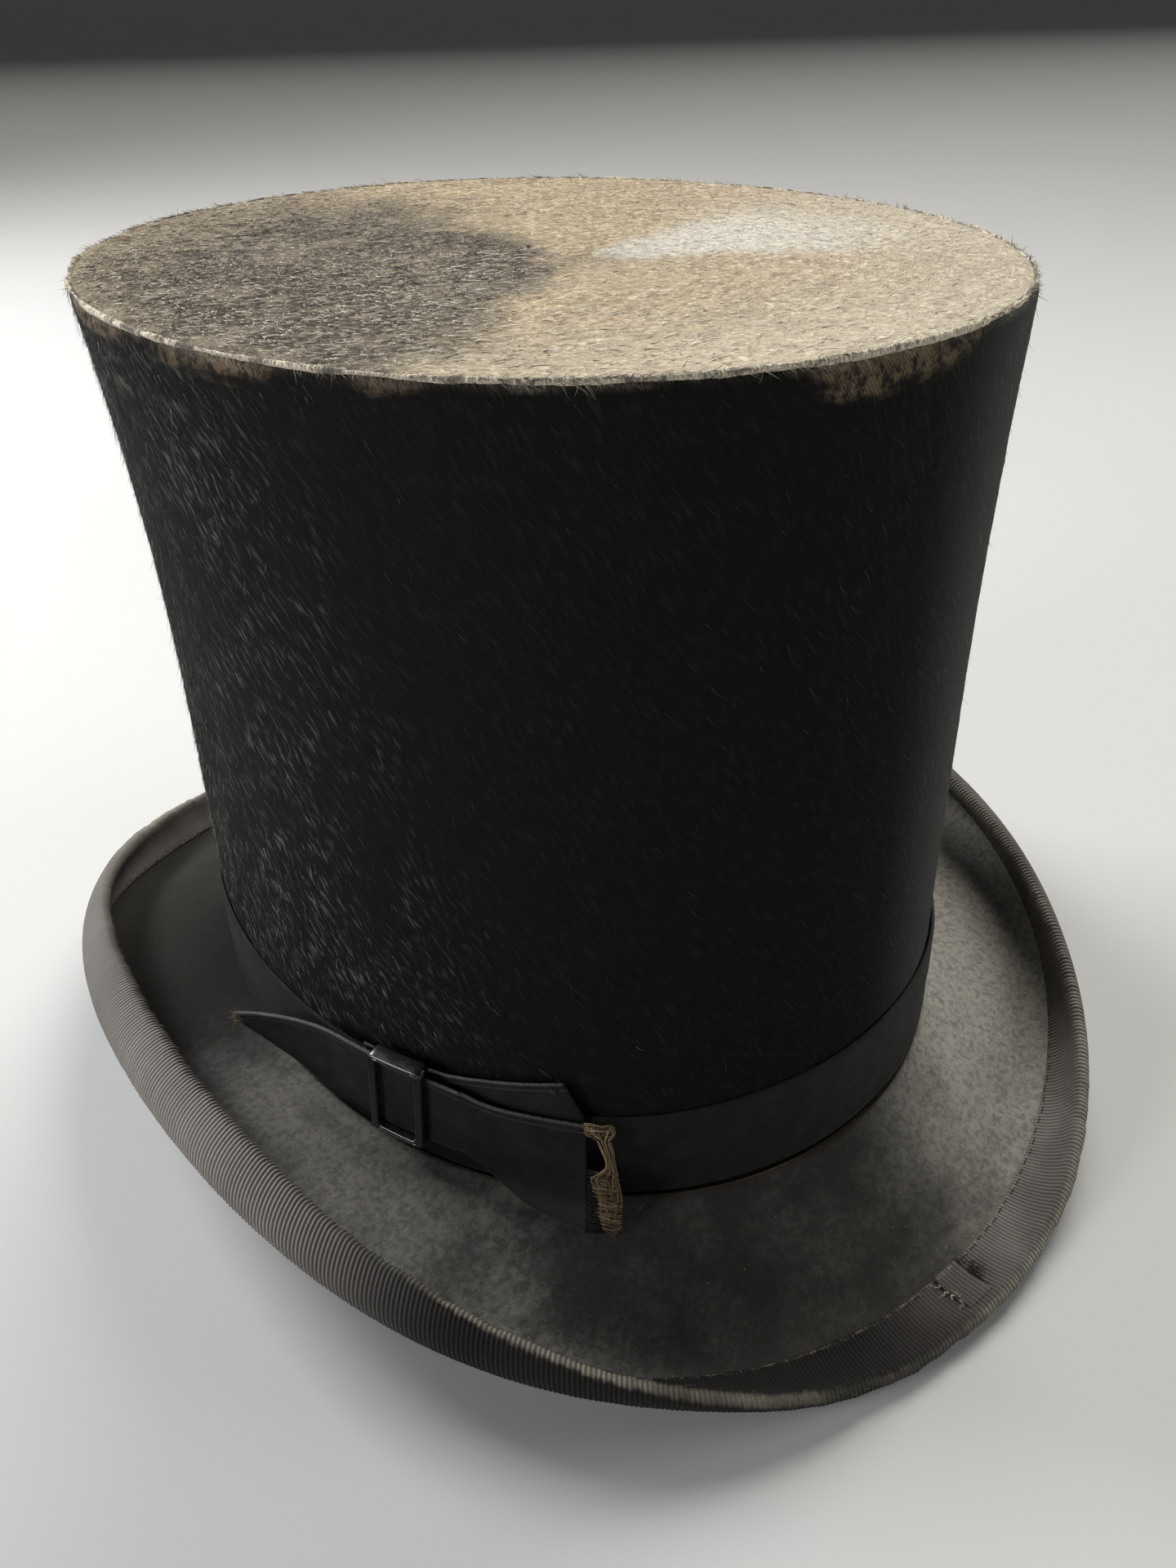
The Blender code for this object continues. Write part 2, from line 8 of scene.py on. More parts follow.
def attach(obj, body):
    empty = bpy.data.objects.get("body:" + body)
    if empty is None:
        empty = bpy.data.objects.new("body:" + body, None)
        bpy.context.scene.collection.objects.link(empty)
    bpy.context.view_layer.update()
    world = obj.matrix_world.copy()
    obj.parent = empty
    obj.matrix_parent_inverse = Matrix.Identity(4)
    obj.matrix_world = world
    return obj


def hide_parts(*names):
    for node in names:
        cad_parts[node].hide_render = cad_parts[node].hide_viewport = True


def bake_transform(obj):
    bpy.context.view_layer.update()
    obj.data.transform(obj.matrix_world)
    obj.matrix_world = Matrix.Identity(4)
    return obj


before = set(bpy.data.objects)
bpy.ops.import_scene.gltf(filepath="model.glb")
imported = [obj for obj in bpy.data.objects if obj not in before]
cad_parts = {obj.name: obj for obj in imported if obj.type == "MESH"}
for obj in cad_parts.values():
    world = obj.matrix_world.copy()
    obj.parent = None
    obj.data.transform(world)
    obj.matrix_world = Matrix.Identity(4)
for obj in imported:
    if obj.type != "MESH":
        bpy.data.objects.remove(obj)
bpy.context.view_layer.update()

# A worn silk-plush top hat. Metres, +Z up, the front faces -Y and the buckle is on the +X side.
# A bearing is measured in degrees from the back (+Y) towards the wearer's left (+X).

GAP = 0.0003
FOOT_HEIGHT = 0.02124

# Crown, on the outer face of the plush
CROWN_HEIGHT = 0.1732
FOOT_HALF_LENGTH = 0.1040
FOOT_HALF_WIDTH = 0.0857
TIP_HALF_LENGTH = 0.1024
TIP_HALF_WIDTH = 0.0875
WAIST_LENGTH_DIP = 0.0009
WAIST_WIDTH_DIP = 0.0037
WAIST_SKEW = 1.56
OVAL_POWER = 2.06
CROWN_GIRTH = 0.600
TIP_REACH = 0.09
PLUSH = 0.0008
SHELL = 0.0014
LINING = 0.0004
SWEATBAND = 0.0010
HATBAND = 0.0008

# Brim profile and layers
BRIM_FRONT_BACK = 0.0500
BRIM_SIDE = 0.0525
CURL_LENGTH = 0.0232
DIP_SLOPE = -35.5
SIDE_SLOPE = 12.5
DIP_EDGE_TURN = 29.5
SIDE_EDGE_TURN = 188.0
FLAT_SHARE = 0.19
SLOPE_POWER = 3.0
TURN_POWER = 1.22
BRIM_GIRTH = 0.860
BOARD_HALF = 0.0006
CLOTH = 0.0004
RIBBON = 0.0005
RIBBON_WIDTH = 0.0132
RIBS = 860
CLOTH_START = 0.0008
BOARD_SETBACK = 0.0035
# the ribbon's outer face, from the middle of the board
RIBBON_FACE = BOARD_HALF + CLOTH + RIBBON + 2.0 * GAP
# bearings of the ribbon's open end and of its sewn end, at the centre of the back
JOIN_START = -2.4
JOIN_END = 0.7

# Where the plush is worn to its weave below the tip: bearing, half length in degrees, depth
WORN_SPOTS = ((95.0, 22.0, 0.0060), (69.0, 13.0, 0.0085), (46.0, 8.0, 0.0050), (1.0, 14.0, 0.0075))

# Hatband, strap and buckle, as heights above the crown's foot
BAND_LOW = 0.0022
BAND_HIGH = 0.0270
BUCKLE_BEARING = 62.6
BUCKLE_WIDTH = 0.0132
BUCKLE_LEAN = 0.09
BUCKLE_LOW = 0.0092
BUCKLE_HIGH = 0.0334
BUCKLE_BAR = 0.0019
BUCKLE_RAIL = 0.0016
BUCKLE_BACK = 0.0023
BUCKLE_FRONT = 0.0058
BUCKLE_SIDE_BACK = 0.0046
CENTRE_BAR_WIDTH = 0.0024
CENTRE_BAR_DEPTH = 0.0010
STRAP_INNER = 0.0037
STRAP = 0.0005
STRAP_LOW = 0.0112
STRAP_HIGH = 0.0314
TAIL_START = 0.0146
TAIL_LENGTH = 0.0340
TAIL_BOW = 0.0028
TAIL_TIP_LOW = 0.0181
TAIL_TIP_HIGH = 0.0209
TORN_BEARING = 38.2
# the underlay's inner face and the tack's place on it
UNDERLAY_INNER = HATBAND + 2.0 * GAP
UNDERLAY = 0.0004
TACK_BEARING = 42.2
TACK_HEIGHT = 0.0335

# Inside
SWEATBAND_HIGH = 0.0480
REED_RADIUS = 0.0008
LINING_LOW = 0.0240
STITCH_HEIGHT = 0.0022

# Camera
CAMERA_PLACE = (0.1504, 0.2155, 0.2397)
CAMERA_AIM = (-0.4952, -0.6635, -0.5608)
CAMERA_UP = (-0.3604, -0.4305, 0.8275)
CAMERA_LENS = 27.53

UP = np.array([0.0, 0.0, 1.0])


# ------------------------------------------------------------------ numbers and noise

def blend(low, high, share):
    """The value a share of the way from low to high."""
    return low + (high - low) * share


def smooth_step(low, high, value):
    """0 at low and 1 at high, with a soft start and end."""
    share = np.clip((value - low) / (high - low), 0.0, 1.0)
    return share * share * (3.0 - 2.0 * share)


def keys(places, values, at):
    """Straight lines through values at their places."""
    return np.interp(at, places, values)


def unit(vectors):
    """Vectors of length 1."""
    return vectors / np.linalg.norm(vectors, axis=-1, keepdims=True)


def signed_power(value, power):
    """A power that keeps the sign, for superellipses."""
    return np.sign(value) * np.abs(value) ** power


def lattice_noise(u, v, cells_u, cells_v, seed):
    """Smooth noise from -1 to 1 that repeats when u grows by 1. v runs from 0 to 1."""
    table = np.random.default_rng(seed).random((cells_u, cells_v + 2)) * 2.0 - 1.0
    place_u = np.mod(u, 1.0) * cells_u
    place_v = np.clip(v, 0.0, 1.0) * cells_v
    low_u = np.floor(place_u).astype(int)
    low_v = np.floor(place_v).astype(int)
    part_u = smooth_step(0.0, 1.0, place_u - low_u)
    part_v = smooth_step(0.0, 1.0, place_v - low_v)
    here = low_u % cells_u
    after = (low_u + 1) % cells_u
    near = blend(table[here, low_v], table[after, low_v], part_u)
    far = blend(table[here, low_v + 1], table[after, low_v + 1], part_u)
    return blend(near, far, part_v)


def ring_noise(bearing, cells, seed):
    """Smooth noise from -1 to 1 round the hat."""
    return lattice_noise(bearing / 360.0, 0.0 * bearing, cells, 1, seed)


# ------------------------------------------------------------------ the hat's surfaces

def oval(half_length, half_width, bearing):
    """Plan point and outward normal of the crown's oval."""
    angle = np.radians(bearing)
    power = 2.0 / OVAL_POWER
    side = signed_power(np.sin(angle), power) * half_width
    along = signed_power(np.cos(angle), power) * half_length
    grow = OVAL_POWER - 1.0
    lean_side = signed_power(side / half_width, grow) / half_width
    lean_along = signed_power(along / half_length, grow) / half_length
    size = np.hypot(lean_side, lean_along)
    return side, along, lean_side / size, lean_along / size


def crown(bearing, height, outset):
    """Points at heights above the crown's foot, outset from the plush's outer face."""
    bearing, height, outset = np.broadcast_arrays(bearing, height, outset)
    share = np.clip(height / CROWN_HEIGHT, 0.0, 1.0)
    dip = np.sin(np.pi * share ** WAIST_SKEW)
    half_length = blend(FOOT_HALF_LENGTH, TIP_HALF_LENGTH, share) - WAIST_LENGTH_DIP * dip
    half_width = blend(FOOT_HALF_WIDTH, TIP_HALF_WIDTH, share) - WAIST_WIDTH_DIP * dip
    side, along, lean_side, lean_along = oval(half_length, half_width, bearing)
    return np.stack([side + lean_side * outset, along + lean_along * outset, FOOT_HEIGHT + height], -1)


def crown_normal(bearing):
    """The level outward direction at the crown's foot."""
    _, _, lean_side, lean_along = oval(FOOT_HALF_LENGTH, FOOT_HALF_WIDTH, bearing)
    return np.stack([lean_side, lean_along, np.zeros_like(lean_side)], -1)


def brim_shape(bearing):
    """The foot's point and normal, and the brim's width, slope and last turn, at a bearing."""
    side, along, lean_side, lean_along = oval(FOOT_HALF_LENGTH, FOOT_HALF_WIDTH, bearing)
    sideways = np.maximum(np.abs(lean_side) - FLAT_SHARE, 0.0) / (1.0 - FLAT_SHARE)
    width = blend(BRIM_FRONT_BACK, BRIM_SIDE, sideways)
    slope = np.radians(blend(DIP_SLOPE, SIDE_SLOPE, sideways ** SLOPE_POWER))
    turn = np.radians(blend(DIP_EDGE_TURN, SIDE_EDGE_TURN, sideways ** TURN_POWER))
    return side, along, lean_side, lean_along, width, slope, turn


def brim(bearing, from_rim, lift):
    """Points at distances in from the rim along the brim, lifted off the board's middle."""
    bearing, from_rim, lift = np.broadcast_arrays(bearing, from_rim, lift)
    side, along, lean_side, lean_along, width, slope, turn = brim_shape(bearing)
    straight = width - CURL_LENGTH
    run = width - from_rim
    curled = np.clip(run - straight, 0.0, None)
    flat_run = np.minimum(run, straight)
    radius = CURL_LENGTH / (turn - slope)
    angle = slope + (turn - slope) * curled / CURL_LENGTH
    out = flat_run * np.cos(slope) + radius * (np.sin(angle) - np.sin(slope))
    up = flat_run * np.sin(slope) + radius * (np.cos(slope) - np.cos(angle))
    out = out - lift * np.sin(angle)
    up = up + lift * np.cos(angle)
    return np.stack([side + lean_side * out, along + lean_along * out, FOOT_HEIGHT + up], -1)


def rim(bearing, turn, radius):
    """Points on the rounded rim: turn 0 is the top face and pi the under face."""
    bearing, turn, radius = np.broadcast_arrays(bearing, turn, radius)
    probe = 0.001
    centre = brim(bearing, RIBBON_FACE, 0.0)
    top = (brim(bearing, RIBBON_FACE, probe) - centre) / probe
    _, _, lean_side, lean_along, _, _, _ = brim_shape(bearing)
    outward = top[..., 0] * lean_side + top[..., 1] * lean_along
    edge = np.stack([lean_side * top[..., 2], lean_along * top[..., 2], -outward], -1)
    reach = top * np.cos(turn)[..., None] + edge * np.sin(turn)[..., None]
    return centre + reach * radius[..., None]


# ------------------------------------------------------------------ meshes

def link(made):
    """Put an object into the scene."""
    bpy.context.scene.collection.objects.link(made)
    return made


def mesh_from(name, points, quads, uv, finish):
    """An object from points (n, 3), faces (m, 3 or 4) and a UV pair for each face corner."""
    sides = quads.shape[1]
    first = points[quads[:, 0]]
    volume = 0.0
    for corner in range(1, sides - 1):
        cross = np.cross(points[quads[:, corner]], points[quads[:, corner + 1]])
        volume += float((first * cross).sum())
    if volume < 0.0:
        quads = quads[:, ::-1]
        uv = uv.reshape(len(quads), sides, 2)[:, ::-1]
    mesh = bpy.data.meshes.new(name)
    mesh.vertices.add(len(points))
    mesh.vertices.foreach_set("co", points.astype(np.float32).ravel())
    mesh.loops.add(quads.size)
    mesh.loops.foreach_set("vertex_index", quads.astype(np.int32).ravel())
    mesh.polygons.add(len(quads))
    mesh.polygons.foreach_set("loop_start", np.arange(0, quads.size, sides, dtype=np.int32))
    layer = mesh.uv_layers.new(name="UVMap")
    mesh.update(calc_edges=True)
    layer.uv.foreach_set("vector", np.ascontiguousarray(uv, dtype=np.float32).ravel())
    mesh.validate()
    mesh.shade_smooth()
    mesh.materials.append(finish)
    return link(bpy.data.objects.new(name, mesh))


def add_loops(name, sections, uv, finish, closed=True, sharp=None):
    """A body from one loop of points per column: sections is (columns, loop, 3).

    uv is (columns or columns + 1, loop, 2). A closed body's last column joins its first one.
    """
    columns, count = sections.shape[:2]
    spans = columns if closed else columns - 1
    here = np.arange(spans)[:, None]
    there = here + 1
    wrapped = there % columns
    step = np.arange(count)[None, :]
    after = (step + 1) % count
    corners = [here * count + step, wrapped * count + step, wrapped * count + after, here * count + after]
    corner_uv = [uv[here, step], uv[there, step], uv[there, after], uv[here, after]]
    quads = np.stack(corners, -1).reshape(-1, 4)
    corner_uv = np.stack(corner_uv, -2).reshape(-1, 4, 2)
    if not closed:
        index = np.arange(count // 2 - 1)
        opposite = count - 1 - index
        cap = np.stack([index, index + 1, opposite - 1, opposite], -1)
        for column, ordered in ((0, cap), (columns - 1, cap[:, ::-1])):
            quads = np.concatenate([quads, ordered + column * count])
            corner_uv = np.concatenate([corner_uv, uv[column][ordered]])
    made = mesh_from(name, sections.reshape(-1, 3), quads, corner_uv, finish)
    if sharp is not None:
        made.data.set_sharp_from_angle(angle=math.radians(sharp))
    return made


def add_shell(name, outer, inner, uv, finish, closed=True):
    """Cloth of a real thickness from its two faces, both (columns, rows, 3)."""
    sections = np.concatenate([outer, inner[:, ::-1]], 1)
    return add_loops(name, sections, np.concatenate([uv, uv[:, ::-1]], 1), finish, closed)


def girdle(steps, girth=CROWN_GIRTH):
    """Bearings all the way round as a column, and distances round a girth with the closing one."""
    return 360.0 * np.arange(steps)[:, None] / steps, girth * np.arange(steps + 1)[:, None] / steps


def grid_uv(u, v):
    """UV pairs from two arrays that broadcast to the same grid."""
    return np.stack(np.broadcast_arrays(u, v), -1)


def frames_along(path):
    """Two normals at each point of a path, turned as little as possible."""
    tangent = np.gradient(path, axis=0)
    tangent /= np.maximum(np.linalg.norm(tangent, axis=1, keepdims=True), 1e-12)
    first = np.cross(tangent[0], UP)
    if np.linalg.norm(first) < 0.1:
        first = np.cross(tangent[0], (1.0, 0.0, 0.0))
    normal = unit(first)
    normals = []
    for direction in tangent:
        normal = unit(normal - direction * float(normal @ direction))
        normals.append(normal)
    normals = np.array(normals)
    return normals, np.cross(tangent, normals)


def circle(first, second, sides):
    """Spokes of a circle at each point, from two normals (n, 3): (n, sides, 3)."""
    turn = 2.0 * np.pi * np.arange(sides) / sides
    across = first[:, None] * np.cos(turn)[None, :, None]
    return across + second[:, None] * np.sin(turn)[None, :, None]


class Threads:
    """Thin tubes that become one object."""

    def __init__(self):
        self.tubes = []

    def add(self, path, radius, tint):
        """A tube along path (n, 3). The radius is one number, or one for each point."""
        self.tubes.append((path, np.broadcast_to(radius, len(path)), tint))

    def build(self, name, finish, sides=5):
        points, faces, corner_uv = [], [], []
        base = 0
        step = np.arange(sides)
        after = (step + 1) % sides
        for path, radius, tint in self.tubes:
            tube = path[:, None] + circle(*frames_along(path), sides) * radius[:, None, None]
            points.append(np.concatenate([tube.reshape(-1, 3), path[:1], path[-1:]]))
            count = len(path) * sides
            low = np.arange(len(path) - 1)[:, None] * sides + step
            low_after = np.arange(len(path) - 1)[:, None] * sides + after
            side_a = np.stack([low, low_after, low_after + sides], -1).reshape(-1, 3)
            side_b = np.stack([low, low_after + sides, low + sides], -1).reshape(-1, 3)
            last = count - sides
            start_cap = np.stack([np.full(sides, count), after, step], -1)
            end_cap = np.stack([np.full(sides, count + 1), last + step, last + after], -1)
            piece = np.concatenate([side_a, side_b, start_cap, end_cap]) + base
            faces.append(piece)
            corner_uv.append(np.broadcast_to((tint, 0.5), (len(piece), 3, 2)))
            base += count + 2
        joined = [np.concatenate(part) for part in (points, faces, corner_uv)]
        return mesh_from(name, *joined, finish)


def add_fibres(name, roots, reach, bend, radius, tints, finish):
    """Thin tapered hairs: each runs from its root along reach and bends by bend."""
    count, steps = len(roots), 3
    share = np.linspace(0.0, 1.0, steps + 1)[:-1]
    middle = roots[:, None] + reach[:, None] * share[None, :, None]
    middle = middle + bend[:, None] * (share ** 2)[None, :, None]
    tangent = unit(reach)
    helper = np.where(np.abs(tangent[:, 2:3]) < 0.8, UP, (1.0, 0.0, 0.0))
    first = unit(np.cross(tangent, helper))
    ring = circle(first, np.cross(tangent, first), 3)
    width = radius[:, None] * (1.0 - 0.55 * share)[None, :]
    body = middle[:, :, None] + ring[:, None] * width[:, :, None, None]
    end = (roots + reach + bend)[:, None]
    points = np.concatenate([body.reshape(count, steps * 3, 3), end], 1)
    faces = [(0, 2, 1)]
    for low in range(steps * 3 - 3):
        low_after = low - 2 if low % 3 == 2 else low + 1
        faces.append((low, low_after, low_after + 3))
        faces.append((low, low_after + 3, low + 3))
    last = steps * 3 - 3
    for side in range(3):
        faces.append((last + side, last + (side + 1) % 3, steps * 3))
    faces = np.array(faces)[None] + (np.arange(count) * (steps * 3 + 1))[:, None, None]
    corner_uv = np.stack([tints, np.full(count, 0.5)], -1)[:, None, None]
    corner_uv = np.broadcast_to(corner_uv, (*faces.shape, 2))
    return mesh_from(name, points.reshape(-1, 3), faces.reshape(-1, 3), corner_uv.reshape(-1, 3, 2), finish)


# ------------------------------------------------------------------ materials

class Value:
    """A number, place or colour inside a node material, with ordinary sums."""

    def __init__(self, finish, socket):
        self.finish = finish
        self.socket = socket

    def __add__(self, other):
        return self.finish.math("ADD", self, other)

    def __sub__(self, other):
        return self.finish.math("SUBTRACT", self, other)

    def __rsub__(self, other):
        return self.finish.math("SUBTRACT", other, self)

    def __mul__(self, other):
        return self.finish.math("MULTIPLY", self, other)

    def __truediv__(self, other):
        return self.finish.math("DIVIDE", self, other)

    def __abs__(self):
        return self.finish.math("ABSOLUTE", self)


class Finish:
    """A node material that is built up with short calls."""

    def __init__(self, name):
        self.material = bpy.data.materials.new(name)
        self.material.use_nodes = True
        self.tree = self.material.node_tree
        self.tree.nodes.clear()
        output = self.tree.nodes.new("ShaderNodeOutputMaterial")
        self.shader = self.tree.nodes.new("ShaderNodeBsdfPrincipled")
        self.tree.links.new(self.shader.outputs["BSDF"], output.inputs["Surface"])
        self.uv = self.node("TexCoord", "UV", {})
        self.place = self.node("TexCoord", "Object", {})

    def put(self, socket, value):
        """Link a value to a socket, or write a number or colour on it."""
        if isinstance(value, Value):
            self.tree.links.new(value.socket, socket)
        elif socket.type == "RGBA":
            socket.default_value = (*value, 1.0)
        else:
            socket.default_value = value

    def set(self, **values):
        for name, value in values.items():
            self.put(self.shader.inputs[name.replace("_", " ")], value)

    def node(self, kind, output, inputs, **settings):
        made = self.tree.nodes.new("ShaderNode" + kind)
        for name, value in settings.items():
            setattr(made, name, value)
        for name, value in inputs.items():
            self.put(made.inputs[name], value)
        return Value(self, made.outputs[output])

    def mapped(self, vector, scale, turn=0.0):
        inputs = {"Vector": vector, "Scale": scale, "Rotation": (0.0, 0.0, turn)}
        return self.node("Mapping", "Vector", inputs)

    def noise(self, vector, scale, detail=3.0, roughness=0.55, distortion=0.0):
        """Noise at one scale, or at one for each direction."""
        if isinstance(scale, tuple):
            vector = self.mapped(vector, scale)
            scale = 1.0
        inputs = {"Vector": vector, "Scale": scale, "Detail": detail, "Roughness": roughness}
        return self.node("TexNoise", "Fac", {**inputs, "Distortion": distortion})

    def cells(self, vector, scale):
        return self.node("TexVoronoi", "Distance", {"Vector": vector, "Scale": scale})

    def wave(self, vector, scale, direction="X", distortion=0.0):
        inputs = {"Vector": vector, "Scale": scale, "Distortion": distortion}
        return self.node("TexWave", "Fac", inputs, wave_type="BANDS", bands_direction=direction)

    def math(self, operation, *values):
        return self.node("Math", 0, dict(enumerate(values)), operation=operation)

    def larger(self, first, second):
        return self.math("MAXIMUM", first, second)

    def root(self, value):
        return self.math("SQRT", value)

    def parts(self, vector):
        made = self.node("SeparateXYZ", 0, {0: vector}).socket.node
        return [Value(self, output) for output in made.outputs]

    def joined(self, x, y, z=0.0):
        return self.node("CombineXYZ", 0, {0: x, 1: y, 2: z})

    def band(self, value, low, high, to_low=0.0, to_high=1.0):
        """A smooth step of a value from one range to another."""
        inputs = {"Value": value, "From Min": low, "From Max": high, "To Min": to_low, "To Max": to_high}
        return self.node("MapRange", "Result", inputs, interpolation_type="SMOOTHSTEP")

    def over(self, colour, *layers):
        """Tints laid over a colour one after another, each with its share."""
        for share, tint in layers:
            colour = self.mix(share, colour, tint)
        return colour

    def mix(self, share, first, second):
        """A colour between two others."""
        return self.node("Mix", 2, {0: share, 6: first, 7: second}, data_type="RGBA")

    def bump(self, height, strength, distance):
        return self.node("Bump", "Normal", {"Strength": strength, "Distance": distance, "Height": height})

    def facing(self, bearing):
        """1 where the place lies at this bearing from the hat's middle, -1 where it lies opposite."""
        x, y, _ = self.parts(self.place)
        size = self.root(x * x + (y * y + 1e-6))
        across = math.sin(math.radians(bearing))
        along = math.cos(math.radians(bearing))
        return (x * across + y * along) / size


def plush_side():
    """Black silk plush, brushed down and towards the back, with its top edge worn to the weave."""
    f = Finish("plush_side")
    along, height, _ = f.parts(f.uv)
    lean = along - height * 0.62
    swept = f.noise(f.uv, (18.0, 18.0, 1.0), 2.0) * 0.014 + lean
    clump = f.noise(f.joined(swept * 1000.0, height * 270.0), 1.0, 4.0, 0.62)
    fine = f.noise(f.joined(swept * 3000.0, height * 950.0), 1.0, 3.0, 0.7)
    fleck = f.band(fine, 0.60, 0.76)
    patch = f.noise(f.uv, (26.0, 20.0, 1.0), 4.0, 0.62)
    # the nap is rubbed grey on the wearer's left, where its lighter clumps are partly painted highlight;
    # behind the wearer's right a painted sheen lightens the ground and, more lightly, the clumps
    slanted = along - height * 0.22
    handled_and_lit = f.band(abs(slanted - 0.155), 0.095, 0.045)
    mottle = f.band(f.noise(f.uv, (95.0, 70.0, 1.0), 4.0, 0.62, 0.6), 0.38, 0.6, 0.22, 1.0)
    # painted sheen on the side behind the wearer's right
    far_side_sheen = f.band(abs(along - 0.525), 0.073, 0.04)
    wear = f.larger(handled_and_lit, far_side_sheen * 0.45)
    rubbed = f.band(patch, 0.34, 0.54) * (wear * 0.96 + 0.04) * mottle
    # lighter clumps: rubbed grey nap and painted highlight
    lit = f.band(clump, 0.5, 0.7) * (rubbed * 0.96 + 0.04)
    speck = f.band(f.cells(f.uv, 30.0), 0.016, 0.01)
    fibre = f.over(
        (0.0092, 0.0092, 0.0090),
        (far_side_sheen, (0.0480, 0.0495, 0.0480)),
        (lit, (0.125, 0.123, 0.112)),
        (fleck * (rubbed * 0.42 + 0.015), (0.28, 0.27, 0.245)),
        (speck * 0.7, (0.5, 0.46, 0.38)),
    )
    # below the tip it is worn through to the twill of its ground
    edge_noise = f.noise(f.uv, (30.0, 120.0, 1.0), 5.0, 0.68)
    broad = f.noise(f.uv, (11.0, 8.0, 1.0), 2.0)
    worn_height = edge_noise * 0.026 + (broad * 0.016 + height)
    for bearing, spread, gain in WORN_SPOTS:
        near = f.band(f.facing(bearing), math.cos(math.radians(spread)), 1.0)
        worn_height = near * gain + worn_height
    worn = f.band(worn_height, 0.1950, 0.2005)
    twill = f.wave(f.mapped(f.uv, (1.0, 1.0, 1.0), 0.6), 520.0, "X", 1.5)
    weave = f.mix(twill * 0.5, (0.13, 0.094, 0.062), (0.3, 0.228, 0.15))
    soil = f.noise(f.uv, (420.0, 300.0, 1.0), 4.0, 0.72)
    weave = f.mix(f.band(soil, 0.45, 0.58), weave, (0.030, 0.026, 0.023))
    colour = f.mix(worn * 0.8, fibre, weave)
    greyed = f.band(edge_noise * 0.004 + height, 0.1724, 0.1748)
    patchy = f.band(f.noise(f.uv, (70.0, 20.0, 1.0), 3.0), 0.4, 0.62, 0.15, 1.0)
    greyed = greyed * patchy
    colour = f.mix(greyed * f.band(fine, 0.42, 0.62, 0.1, 0.85), colour, (0.42, 0.36, 0.275))
    height_map = clump * 0.7 + fine * 0.45
    f.set(Base_Color=colour, Normal=f.bump(height_map, 0.8, 0.0006))
    f.set(Roughness=f.band(clump, 0.3, 0.8, 0.85, 0.70), Specular_IOR_Level=0.03)
    f.set(Sheen_Weight=0.02, Sheen_Roughness=0.30, Sheen_Tint=(0.80, 0.80, 0.76))
    return f.material


